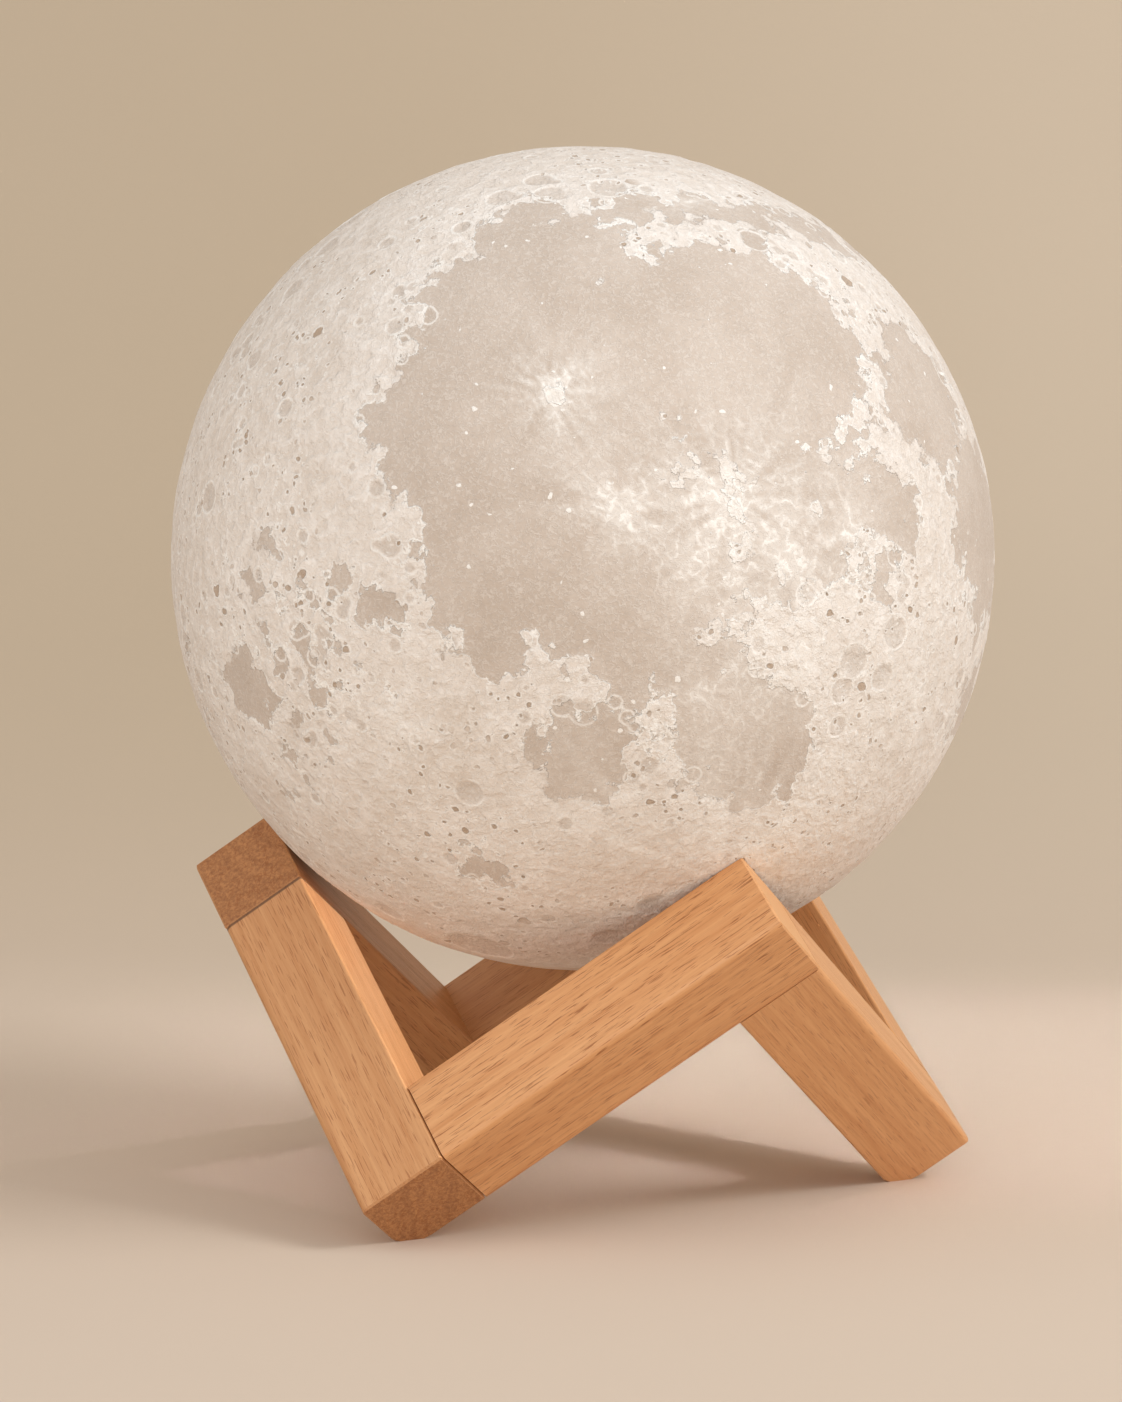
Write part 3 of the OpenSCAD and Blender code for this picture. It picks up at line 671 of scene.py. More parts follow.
def moon_ground(tree, place, bent, sea, coast, wet, grain):
    """Colour of the ground under its marks, and the lumps and lace that the land's height shares."""
    g = settings().globe
    patch = cloud(tree, place, {"Scale": 0.07, "Detail": 8.0, "Roughness": 0.7}, (0.4, 0.6))
    lace = cloud(tree, bent, {"Scale": 0.28, "Detail": 5.0, "Roughness": 0.6, "Offset": 1.0}, (0.9, 1.9),
                 shape="SMOOTHSTEP", kind=RIDGED)
    lump = cloud(tree, bent, {"Scale": 0.34, "Detail": 4.0, "Roughness": 0.55}, (0.34, 0.66),
                 shape="SMOOTHSTEP")
    shore = add(tree, "MapRange", {"Value": sea, "From Min": -16.0, "From Max": -0.5}, **SMOOTH)
    # The land is lighter on the lumps and lace that also raise it: partly the print's mottle, partly painted
    # light on their tops
    lumped = add(tree, "Mix", {"Factor": 0.4, "A": lump, "B": patch})
    laced = add(tree, "Mix", {"Factor": 0.45, "A": lumped, "B": lace})
    shored = add(tree, "Mix", {"Factor": 0.25, "A": laced, "B": shore})
    land = add(tree, "Mix", {"Factor": shored, "A": g.highland_dull, "B": g.highland}, data_type="RGBA")
    mottled = add(tree, "Mix", {"Factor": 0.35, "A": patch, "B": grain})
    water = add(tree, "Mix", {"Factor": mottled, "A": g.sea_dark, "B": g.sea}, data_type="RGBA")
    # The tone turns more slowly at the coast than the ground does
    faded = add(tree, "MapRange", {"Value": coast, "From Min": -2.6, "From Max": 1.6}, **SMOOTH)
    sea_tone = add(tree, "Mix", {"Factor": 0.55, "A": wet, "B": faded})
    ground = add(tree, "Mix", {"Factor": sea_tone, "A": land, "B": water}, data_type="RGBA")
    return ground, lump, lace


def printed_moon():
    """Cream PLA print, rubbed matt: pale crests painted as highlights, taupe seas and tan pits with painted
    shade in them, and a powdery sheen.
    """
    g = settings().globe
    made, tree, surface = new_finish("printed_pla_moon")
    coords = add(tree, "TexCoord").outputs["Object"]
    place = add(tree, "Mapping", {"Vector": coords, "Location": -GLOBE_MID * PER_MM,
                                  "Scale": (PER_MM,) * 3})
    sea, ray, crater = (
        add(tree, "Attribute", attribute_name=field).outputs["Fac"] for field in ("sea", "ray", "crater")
    )
    # Places pushed about by up to 1.6 mm, so that outlines drawn over them are out of round
    bend = add(tree, "TexNoise", {"Vector": place, "Scale": 0.5, "Detail": 2.0})
    bend_by = add(tree, "VectorMath", {0: bend.outputs["Color"], "Scale": 1.6}, operation="SCALE")
    bent = add(tree, "VectorMath", {0: place, 1: bend_by}, operation="ADD")

    coast, crest, ring, floor = coast_and_craters(tree, place, sea, crater)
    wet = add(tree, "MapRange", {"Value": coast, "From Min": -0.12, "From Max": 0.16}, **SMOOTH)
    dry = add(tree, "Math", {0: 1.0, 1: wet}, operation="SUBTRACT")
    pit, pit_rim = highland_pits(tree, place, bent, dry)
    sea_dot, worm = sea_marks(tree, place, bent, wet)
    grain = cloud(tree, place, {"Scale": 0.8, "Detail": 4.0, "Roughness": 0.7}, (0.3, 0.7))
    tint, lump, lace = moon_ground(tree, place, bent, sea, coast, wet, grain)

    # The splashes round the ray craters are a web of light lines
    web = cloud(tree, bent, {"Scale": 0.4, "Detail": 4.0, "Roughness": 0.6, "Offset": 1.0}, (0.9, 1.9),
                (0.6, 1.3), shape="SMOOTHSTEP", kind=RIDGED)
    splash = add(tree, "Math", {0: ray, 1: web}, operation="MULTIPLY", use_clamp=True)
    # Light marks: the seas' dots, which are light print, and the crests and rims, which are painted
    # highlights
    marks = add(tree, "Math", {0: crest, 1: sea_dot}, operation="MAXIMUM")
    rings = add(tree, "Math", {0: ring, 1: pit_rim}, operation="MAXIMUM")
    rim_highlights = add(tree, "Math", {0: rings, 1: 0.75}, operation="MULTIPLY")
    dots_and_highlights = add(tree, "Math", {0: marks, 1: rim_highlights}, operation="MAXIMUM")
    # Marks laid over the ground one by one: where each is, how strong it is, and its colour. The crater
    # floors and the pits' tan carry painted shade, the crests and rims are painted highlights
    for mark, strength, shade in (
        (floor, 0.5, g.sea_dark), (worm, 0.2, g.crest), (splash, 1.0, g.crest),
        (dots_and_highlights, 1.0, g.crest), (pit, 0.72, g.pit),
    ):
        part = add(tree, "Math", {0: mark, 1: strength}, operation="MULTIPLY")
        tint = add(tree, "Mix", {"Factor": part, "A": tint, "B": shade}, data_type="RGBA")

    # Height in mm of what is finer than the mesh
    step = add(tree, "MapRange", {"Value": coast, "From Min": -0.7, "From Max": 0.5}, **SMOOTH)
    land_lump = add(tree, "Math", {0: lump, 1: dry}, operation="MULTIPLY")
    land_lace = add(tree, "Math", {0: lace, 1: dry}, operation="MULTIPLY")
    heights = summed(tree, (
        (step, -0.07), (crest, 0.05), (ring, 0.08), (pit, -0.24), (pit_rim, 0.05), (sea_dot, 0.08),
        (worm, 0.045), (grain, 0.08), (land_lump, 0.3), (land_lace, 0.07),
    ))
    bump = add(tree, "Bump", {"Height": heights, "Distance": MM, "Strength": 0.9})
    rough = add(tree, "MapRange", {"Value": grain, "To Min": 0.62, "To Max": 0.78})
    # Rubbed matt PLA catches light at a glance, as powder does, which keeps the limb bright
    finish_with(tree, surface, Base_Color=tint, Normal=bump, Roughness=rough, IOR=1.46,
                Specular_IOR_Level=0.35, Sheen_Weight=0.26, Sheen_Roughness=0.45)
    return made


class MOONLAMP_OT_globe(bpy.types.Operator):
    """Build the printed globe with its relief"""

    bl_idname = "moonlamp.globe"
    bl_label = "Printed globe"

    def execute(self, context):
        """Makes the shell and puts it in the plain one's place."""
        piece = place_mesh("printed_globe", globe_mesh(), printed_moon())
        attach(piece, "globe")
        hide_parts("moon_shell")
        return {"FINISHED"}


# ------------------------------------------------------------ the beech stand

# Sticks in order round the ring, seen from above, starting at the front left: name, lightness, which is
# partly the wood's own tone and partly painted light on the sticks that face the key, strength of the flecks,
# how far painted light pales the ends, and how dark the glue line at the start of the grain is, with painted
# shade of the joint
STICKS = (
    ("front_left_stick", 0.98, 0.75, 0.0, 0.8), ("front_right_stick", 1.13, 1.0, 0.9, 0.0),
    ("right_stick", 1.08, 0.5, 0.5, 0.0), ("rear_right_stick", 1.08, 0.8, 0.5, 0.0),
    ("rear_left_stick", 1.0, 0.7, 0.5, 0.0), ("left_stick", 1.0, 0.8, 0.0, 0.0),
)


def stick_axes(i):
    """Rows of the turn from the lamp's axes to a stick's: along the grain, across, and off its top."""
    side = -((-1) ** i)
    flat = math.sqrt(2 / 3)
    along_turn, top_turn = math.radians(-30 + 60 * i), math.radians(-90 + 60 * i)
    along = Vector((flat * math.cos(along_turn), flat * math.sin(along_turn), side / math.sqrt(3)))
    top = Vector((flat * math.cos(top_turn), flat * math.sin(top_turn), -side / math.sqrt(3)))
    return Matrix((along, top.cross(along), top))


def growth_bands(tree, grain, seed):
    """Growth bands: distance from a pith line beside the stick, wandering a little along it."""
    wander = add(tree, "Mapping", {"Vector": grain, "Scale": (0.012, 0.09, 0.09),
                                   "Location": (seed * 3.7, seed * 1.3, 0)})
    wave = add(tree, "TexNoise", {"Vector": wander, "Scale": 1.0, "Detail": 2.0})
    # The pith runs outside the stick, at another place for each one, in mm from the stick's middle
    pith = (0.0, -9.0 - 4 * (seed % 3), 15.0 - 7 * (seed % 2))
    from_pith = add(tree, "Mapping", {"Vector": grain, "Location": pith, "Scale": (0.0, 1.0, 1.0)})
    rings = add(tree, "VectorMath", {0: from_pith}, operation="LENGTH").outputs["Value"]
    drift = add(tree, "Math", {0: wave, 1: 6.0}, operation="MULTIPLY")
    ring_place = add(tree, "Math", {0: rings, 1: drift}, operation="ADD")
    band_mm = settings().wood.band * PER_MM
    ring_count = add(tree, "Math", {0: ring_place, 1: band_mm}, operation="DIVIDE")
    bands = add(tree, "TexNoise", {"W": ring_count, "Scale": 1.0, "Detail": 2.0, "Roughness": 0.6},
                noise_dimensions="1D")
    return add(tree, "MapRange", {"Value": bands, "From Min": 0.3, "From Max": 0.7})


def along_grain(tree, grain, per_mm, start, look, span, most=1.0, shape="LINEAR"):
    """Noise drawn out along the grain, with so many lumps per mm along it and across it."""
    along, across = per_mm
    place = add(tree, "Mapping", {"Vector": grain, "Scale": (along, across, across), "Location": start})
    return cloud(tree, place, {"Scale": 1.0, **look}, span, (0.0, most), shape)


def beech_end(tree, grain, band, painted_end_light):
    """End grain: a mottled speckle of open pores over the faintest growth bands, with short dark curls."""
    w = settings().wood
    pores = add(tree, "TexNoise", {"Vector": grain, "Scale": 1.4, "Detail": 4.0, "Roughness": 0.75})
    speckle = add(tree, "Mix", {"Factor": 0.88, "A": band, "B": pores})
    depth = add(tree, "MapRange", {"Value": speckle, "From Min": 0.36, "From Max": 0.62})
    end_wood = add(tree, "Mix", {"Factor": depth, "A": w.end_dark, "B": w.end}, data_type="RGBA")
    curls = add(tree, "TexNoise", {"Vector": grain, "Scale": 0.35, "Detail": 2.0, "Distortion": 1.2})
    curl = add(tree, "MapRange", {"Value": gap_from(tree, curls, 0.52), "From Min": 0.004, "From Max": 0.03,
                                  "To Min": 0.45, "To Max": 0.0}, **SMOOTH)
    curled = add(tree, "Mix", {"Factor": curl, "A": end_wood, "B": w.fleck}, data_type="RGBA")
    # Painted light: the end grain is paled towards the light long grain, most on the end that faces the key
    return add(tree, "Mix", {"Factor": painted_end_light, "A": curled, "B": w.light}, data_type="RGBA")


def beech(name, turn, middle, low_end, seed, tone_and_light, flecked_by, painted_end_light, glue_and_shade):
    """Steamed beech under clear satin lacquer: honey bands, fine pores, short dark flecks, dark ends, paled
    by painted light.
    """
    w = settings().wood
    made, tree, surface = new_finish(name)
    coords = add(tree, "TexCoord")
    angles = turn.to_euler()
    shift = -(turn @ middle) * PER_MM
    grain = add(tree, "Mapping", {"Vector": coords.outputs["Object"], "Location": shift,
                                  "Rotation": angles, "Scale": (PER_MM,) * 3})
    facing = add(tree, "Mapping", {"Vector": coords.outputs["Normal"], "Rotation": angles},
                 vector_type="VECTOR")
    end_side = add(tree, "SeparateXYZ", {"Vector": facing})
    end_face = add(tree, "Math", {0: end_side.outputs[0]}, operation="ABSOLUTE")
    end_mask = add(tree, "MapRange", {"Value": end_face, "From Min": 0.6, "From Max": 0.85})

    band = growth_bands(tree, grain, seed)
    # Real fibres and pores are finer than 0.1 mm, so they are drawn at 0.45 mm to show
    fibre = along_grain(tree, grain, (0.06, 2.2), (seed * 11.0, 0, 0),
                        {"Detail": 4.0, "Roughness": 0.7}, (0.28, 0.72))
    # Flecks 0.2 mm wide and a few millimetres long
    fleck = along_grain(tree, grain, (0.22, 4.6), (seed * 5.0, 3.0, seed),
                        {"Detail": 2.0, "Roughness": 0.5}, (0.585, 0.66), shape="SMOOTHSTEP")
    # Thin dark lines of the grain, 0.6 mm wide and a few centimetres long
    line = along_grain(tree, grain, (0.03, 1.5), (seed * 7.0, seed * 2.0, 5.0),
                       {"Detail": 3.0, "Roughness": 0.6}, (0.54, 0.66), 0.14, "SMOOTHSTEP")
    # Streaks 2 mm wide that run most of the stick's length
    streak = along_grain(tree, grain, (0.014, 0.55), (seed * 2.0, seed, 0),
                         {"Detail": 3.0, "Roughness": 0.6}, (0.35, 0.65))

    soft = add(tree, "Mix", {"Factor": 0.5, "A": band, "B": streak})
    body = add(tree, "Mix", {"Factor": 0.45, "A": soft, "B": fibre})
    banded = add(tree, "Mix", {"Factor": body, "A": w.dark, "B": w.light}, data_type="RGBA")
    # Each stick's lightness is partly the wood's own tone and partly painted light, higher on the sticks that
    # face the key
    wood = add(tree, "HueSaturation", {"Color": banded, "Value": tone_and_light})
    fleck_part = add(tree, "Math", {0: fleck, 1: 0.7 * flecked_by}, operation="MULTIPLY")
    dark_part = add(tree, "Math", {0: fleck_part, 1: line}, operation="MAXIMUM")
    flecked = add(tree, "Mix", {"Factor": dark_part, "A": wood, "B": w.fleck}, data_type="RGBA")
    # The glue line shows on the last 0.7 mm before the neighbour's side, darkened further as painted shade of
    # the joint
    stick_place = add(tree, "SeparateXYZ", {"Vector": grain})
    glue_and_joint_shade = add(tree, "MapRange", {"Value": stick_place.outputs[0], "From Min": low_end + 0.4,
                                       "From Max": low_end + 0.7, "To Min": glue_and_shade, "To Max": 0.0},
                    **SMOOTH)
    side = add(tree, "Mix", {"Factor": glue_and_joint_shade, "A": flecked, "B": w.glue}, data_type="RGBA")
    end = beech_end(tree, grain, band, painted_end_light)
    shade = add(tree, "Mix", {"Factor": end_mask, "A": side, "B": end}, data_type="RGBA")

    heights = summed(tree, ((fibre, 0.012), (fleck, -0.015), (band, 0.01)))
    bump = add(tree, "Bump", {"Height": heights, "Distance": MM, "Strength": 0.8})
    polish = add(tree, "MapRange", {"Value": fibre, "To Min": 0.5, "To Max": 0.38})
    rough = add(tree, "Mix", {"Factor": end_mask, "A": polish, "B": 0.65})
    finish_with(tree, surface, Base_Color=shade, Normal=bump, Roughness=rough, IOR=1.5)
    return made


class MOONLAMP_OT_stand(bpy.types.Operator):
    """Give the six sticks their wood"""

    bl_idname = "moonlamp.stand"
    bl_label = "Beech stand"

    def execute(self, context):
        """Each stick gets its own cut of beech along its own axis."""
        for i, (name, *look) in enumerate(STICKS):
            low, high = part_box(name)
            turn, middle = stick_axes(i), (low + high) / 2
            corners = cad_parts[name].data.vertices
            low_end = min((turn @ (v.co - middle)).x for v in corners) * PER_MM
            dress(name, beech("beech_" + name, turn, middle, low_end, i + 1, *look))
        return {"FINISHED"}


# ------------------------------------------------------------ dowels, neck ring and light module

# Dowels of each node: the stick whose grain they follow, for the one on the +Y side and the other
DOWELS = {"front_glued_dowels": (0, 2), "locating_dowels": (1, 1), "rear_glued_dowels": (2, 0)}
# A light chip's face is its top where the upward part of the way it faces is more than this
LIGHT_CHIP_TOP = 0.6
# Spacing of the hole grid that circuit boards are drawn on
GRID_MM = 2.54


def in_mm(tree):
    """Places in the lamp's frame in millimetres, and the way that the surface faces."""
    coords = add(tree, "TexCoord")
    place = add(tree, "Mapping", {"Vector": coords.outputs["Object"], "Scale": (PER_MM,) * 3})
    return place, coords.outputs["Normal"]


def faces_along(tree, facing, axis):
    """1 on the faces that look along an axis, either way, and 0 on the others."""
    side = add(tree, "SeparateXYZ", {"Vector": facing})
    along = add(tree, "Math", {0: side.outputs[axis]}, operation="ABSOLUTE")
    return add(tree, "Math", {0: along, 1: 0.5}, operation="GREATER_THAN")


def fine_grained(name, shade, dull, grain_mm, bump_mm, gloss, stretch=(1, 1, 1), **more):
    """A surface with one even grain: two close tones, a matching unevenness and an uneven gloss."""
    made, tree, surface = new_finish(name)
    place, _ = in_mm(tree)
    grained = add(tree, "Mapping", {"Vector": place, "Scale": [s / grain_mm for s in stretch]})
    level = cloud(tree, grained, {"Scale": 1.0, "Detail": 3.0, "Roughness": 0.6}, (0.3, 0.7))
    tint = two_tones(tree, level, shade, dull)
    bump = add(tree, "Bump", {"Height": level, "Distance": bump_mm * MM, "Strength": 0.8})
    rough = add(tree, "MapRange", {"Value": level, "To Min": gloss[0], "To Max": gloss[1]})
    finish_with(tree, surface, Base_Color=tint, Normal=bump, Roughness=rough, **more)
    return made


def turned_birch(name, middle, turns):
    """Birch dowels turned with the grain: pale straight fibres with a satin burnish."""
    m = settings().module
    made, tree, surface = new_finish(name)
    coords = add(tree, "TexCoord").outputs["Object"]
    fibres = []
    for turn in turns:
        along = add(tree, "Mapping", {"Vector": coords, "Location": -(turn @ middle) * PER_MM,
                                      "Rotation": turn.to_euler(), "Scale": (PER_MM,) * 3})
        thin = add(tree, "Mapping", {"Vector": along, "Scale": (0.08, 2.4, 2.4)})
        fibres.append(add(tree, "TexNoise", {"Vector": thin, "Scale": 1.0, "Detail": 4.0, "Roughness": 0.65}))
    place = add(tree, "SeparateXYZ", {"Vector": coords})
    plus_side = add(tree, "Math", {0: place.outputs[1], 1: middle.y}, operation="GREATER_THAN")
    fibre = add(tree, "Mix", {"Factor": plus_side, "A": fibres[1], "B": fibres[0]})
    level = add(tree, "MapRange", {"Value": fibre, "From Min": 0.32, "From Max": 0.68})
    tint = two_tones(tree, level, m.birch, 0.82, 1.1)
    bump = add(tree, "Bump", {"Height": level, "Distance": 0.03 * MM, "Strength": 0.8})
    rough = add(tree, "MapRange", {"Value": level, "To Min": 0.62, "To Max": 0.5})
    finish_with(tree, surface, Base_Color=tint, Normal=bump, Roughness=rough, IOR=1.5)
    return made


def brushed_stainless():
    """Stainless sheet brushed in circles: fine bright and dull rings round the module's axis."""
    m = settings().module
    made, tree, surface = new_finish("circular_brushed_stainless")
    place, _ = in_mm(tree)
    flat = add(tree, "Mapping", {"Vector": place, "Scale": (1, 1, 0)})
    reach = add(tree, "VectorMath", {0: flat}, operation="LENGTH").outputs["Value"]
    # Real brushing is 0.05 mm fine, which would not show, so it is drawn at 0.2 mm
    rings = add(tree, "TexNoise", {"W": reach, "Scale": 5.0, "Detail": 3.0, "Roughness": 0.6},
                noise_dimensions="1D")
    wear = add(tree, "TexNoise", {"Vector": place, "Scale": 0.25, "Detail": 2.0})
    ring = add(tree, "MapRange", {"Value": rings, "From Min": 0.3, "From Max": 0.7})
    worn = add(tree, "Mix", {"Factor": 0.3, "A": ring, "B": wear})
    tint = two_tones(tree, worn, m.steel, 0.86)
    bump = add(tree, "Bump", {"Height": ring, "Distance": 0.01 * MM, "Strength": 0.6})
    rough = add(tree, "MapRange", {"Value": worn, "To Min": 0.36, "To Max": 0.24})
    finish_with(tree, surface, Base_Color=tint, Normal=bump, Roughness=rough, Metallic=1.0)
    return made


def solder_mask(name, shade, track_mm, edge_shade, edge_metal):
    """Circuit board: glossy solder mask over raised copper tracks and tinned holes, bare cut edge."""
    m = settings().module
    made, tree, surface = new_finish(name)
    place, facing = in_mm(tree)
    face = faces_along(tree, facing, 2)
    tracks = add(tree, "TexBrick", {"Vector": place, "Scale": 1.0, "Mortar Size": track_mm / 2,
                                    "Mortar Smooth": 0.4, "Brick Width": 2 * GRID_MM,
                                    "Row Height": GRID_MM / 2}, offset=0.37, squash=0.6)
    hole_place = add(tree, "Mapping", {"Vector": place, "Scale": (1 / GRID_MM, 1 / GRID_MM, 0),
                                       "Location": (0.3, 0.3, 0)})
    holes = add(tree, "TexVoronoi", {"Vector": hole_place, "Scale": 1.0, "Randomness": 0.35},
                voronoi_dimensions="2D")
    hole = add(tree, "MapRange", {"Value": holes, "From Min": 0.12, "From Max": 0.16, **FALLING})
    tinned = add(tree, "Math", {0: hole, 1: face}, operation="MULTIPLY")
    lighter = add(tree, "HueSaturation", {"Color": shade, "Value": 1.25, "Saturation": 0.92})
    masked = add(tree, "Mix", {"Factor": tracks.outputs["Fac"], "A": shade, "B": lighter}, data_type="RGBA")
    cut = add(tree, "Mix", {"Factor": face, "A": edge_shade, "B": masked}, data_type="RGBA")
    tint = add(tree, "Mix", {"Factor": tinned, "A": cut, "B": m.tin}, data_type="RGBA")
    raised = add(tree, "Math", {0: tracks.outputs["Fac"], 1: tinned}, operation="ADD")
    bump = add(tree, "Bump", {"Height": raised, "Distance": 0.035 * MM, "Strength": 0.8})
    bare = add(tree, "Math", {0: 1.0, 1: face}, operation="SUBTRACT")
    edge = add(tree, "Math", {0: bare, 1: edge_metal}, operation="MULTIPLY")
    metal = add(tree, "Math", {0: edge, 1: tinned}, operation="MAXIMUM")
    rough = add(tree, "MapRange", {"Value": face, "To Min": 0.6, "To Max": 0.32})
    finish_with(tree, surface, Base_Color=tint, Normal=bump, Metallic=metal, Roughness=rough, IOR=1.55)
    return made


def laminated_foil():
    """Nylon-faced aluminium pouch: soft silver with shallow crumples and heat-sealed crimps at both ends."""
    m = settings().module
    made, tree, surface = new_finish("laminated_foil")
    place, _ = in_mm(tree)
    crumples = add(tree, "TexNoise", {"Vector": place, "Scale": 0.22, "Detail": 5.0, "Distortion": 0.6})
    low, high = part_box("battery_pouch")
    height = add(tree, "SeparateXYZ", {"Vector": place})
    off_mid = gap_from(tree, height.outputs[2], (low.z + high.z) / 2 * PER_MM)
    seal_mm = 2.0
    seal_start = (high.z - low.z) / 2 * PER_MM - seal_mm
    seal = add(tree, "Math", {0: off_mid, 1: seal_start}, operation="GREATER_THAN")
    crimp_mm = 0.952
    crimps = add(tree, "TexWave", {"Vector": place, "Scale": WAVE_MM / crimp_mm}, bands_direction="X")
    crimp = add(tree, "Math", {0: crimps.outputs["Fac"], 1: seal}, operation="MULTIPLY")
    relief_mix = add(tree, "Math", {0: crumples, 1: crimp}, operation="ADD")
    tint = two_tones(tree, crumples, m.foil, 0.8)
    bump = add(tree, "Bump", {"Height": relief_mix, "Distance": 0.25 * MM, "Strength": 0.7})
    rough = add(tree, "MapRange", {"Value": crumples, "To Min": 0.42, "To Max": 0.28})
    finish_with(tree, surface, Base_Color=tint, Normal=bump, Roughness=rough, Metallic=0.75)
    return made


def phosphor_chips():
    """Light chips: yellow phosphor in clear silicone on top, white moulded packages round it."""
    m = settings().module
    made, tree, surface = new_finish("phosphor_in_silicone")
    place, facing = in_mm(tree)
    side = add(tree, "SeparateXYZ", {"Vector": facing})
    top = add(tree, "Math", {0: side.outputs[2], 1: LIGHT_CHIP_TOP}, operation="GREATER_THAN")
    grain = cloud(tree, place, {"Scale": 4.0, "Detail": 2.0}, (0.35, 0.65))
    yellow = two_tones(tree, grain, m.phosphor, 0.88)
    tint = add(tree, "Mix", {"Factor": top, "A": m.coating, "B": yellow}, data_type="RGBA")
    bump = add(tree, "Bump", {"Height": grain, "Distance": 0.02 * MM, "Strength": 0.6})
    rough = add(tree, "MapRange", {"Value": top, "To Min": 0.5, "To Max": 0.25})
    finish_with(tree, surface, Base_Color=tint, Normal=bump, Roughness=rough, IOR=1.45)
    return made


def moulded_packages():
    """Epoxy packages on the board: matt charcoal tops, tinned feet where they meet the board."""
    m = settings().module
    made, tree, surface = new_finish("moulded_epoxy_packages")
    place, _ = in_mm(tree)
    board_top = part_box("board_parts")[0].z * PER_MM
    feet = add(tree, "SeparateXYZ", {"Vector": place})
    foot = add(tree, "MapRange", {"Value": feet.outputs[2], "From Min": board_top + 0.25,
                                  "From Max": board_top + 0.35, **FALLING})
    pitch_mm = 0.748
    pins = add(tree, "TexWave", {"Vector": place, "Scale": WAVE_MM / pitch_mm}, bands_direction="X")
    pin = add(tree, "Math", {0: pins.outputs["Fac"], 1: 0.5}, operation="GREATER_THAN")
    tinned = add(tree, "Math", {0: foot, 1: pin}, operation="MULTIPLY")
    grain = add(tree, "TexNoise", {"Vector": place, "Scale": 3.0, "Detail": 3.0})
    lighter = add(tree, "HueSaturation", {"Color": m.carrier, "Value": 1.7})
    epoxy = add(tree, "Mix", {"Factor": grain, "A": m.carrier, "B": lighter}, data_type="RGBA")
    tint = add(tree, "Mix", {"Factor": tinned, "A": epoxy, "B": m.tin}, data_type="RGBA")
    bump = add(tree, "Bump", {"Height": grain, "Distance": 0.02 * MM, "Strength": 0.6})
    finish_with(tree, surface, Base_Color=tint, Normal=bump, Metallic=tinned, Roughness=0.55)
    return made


def contact_carrier():
    """Port tongue: black moulded carrier with gold-plated contact strips along both broad faces."""
    m = settings().module
    made, tree, surface = new_finish("moulded_carrier_gold_contacts")
    place, facing = in_mm(tree)
    face = faces_along(tree, facing, 1)
    pitch_mm = 0.5
    strips = add(tree, "TexWave", {"Vector": place, "Scale": WAVE_MM / pitch_mm}, bands_direction="X")
    strip = add(tree, "Math", {0: strips.outputs["Fac"], 1: 0.5}, operation="GREATER_THAN")
    plated = add(tree, "Math", {0: strip, 1: face}, operation="MULTIPLY")
    grain = add(tree, "TexNoise", {"Vector": place, "Scale": 4.0, "Detail": 2.0})
    lighter = add(tree, "HueSaturation", {"Color": m.carrier, "Value": 1.5})
    black = add(tree, "Mix", {"Factor": grain, "A": m.carrier, "B": lighter}, data_type="RGBA")
    tint = add(tree, "Mix", {"Factor": plated, "A": black, "B": m.gold}, data_type="RGBA")
    bump = add(tree, "Bump", {"Height": plated, "Distance": 0.05 * MM, "Strength": 0.8})
    rough = add(tree, "MapRange", {"Value": plated, "To Min": 0.5, "To Max": 0.25})
    finish_with(tree, surface, Base_Color=tint, Normal=bump, Metallic=plated, Roughness=rough)
    return made


def closed_cell_foam():
    """Cut closed-cell foam: dull dark grey, dimpled by its cells."""
    m = settings().module
    made, tree, surface = new_finish("closed_cell_foam")
    place, _ = in_mm(tree)
    cells = add(tree, "TexVoronoi", {"Vector": place, "Scale": 2.5, "Randomness": 1.0})
    cell = add(tree, "MapRange", {"Value": cells, "From Max": 0.6})
    tint = two_tones(tree, cell, m.foam, 0.6)
    bump = add(tree, "Bump", {"Height": cell, "Distance": 0.12 * MM, "Strength": 0.9})
    finish_with(tree, surface, Base_Color=tint, Normal=bump, Roughness=0.92, IOR=1.45)
    return made


class MOONLAMP_OT_dowels(bpy.types.Operator):
    """Give the dowels their birch"""

    bl_idname = "moonlamp.dowels"
    bl_label = "Birch dowels"

    def execute(self, context):
        """Each dowel's fibres follow the stick that it lies along."""
        for name, sticks in DOWELS.items():
            low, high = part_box(name)
            mid = (low + high) / 2
            turns = [stick_axes(i) for i in sticks]
            dress(name, turned_birch("turned_birch_" + name, mid, turns))
        return {"FINISHED"}


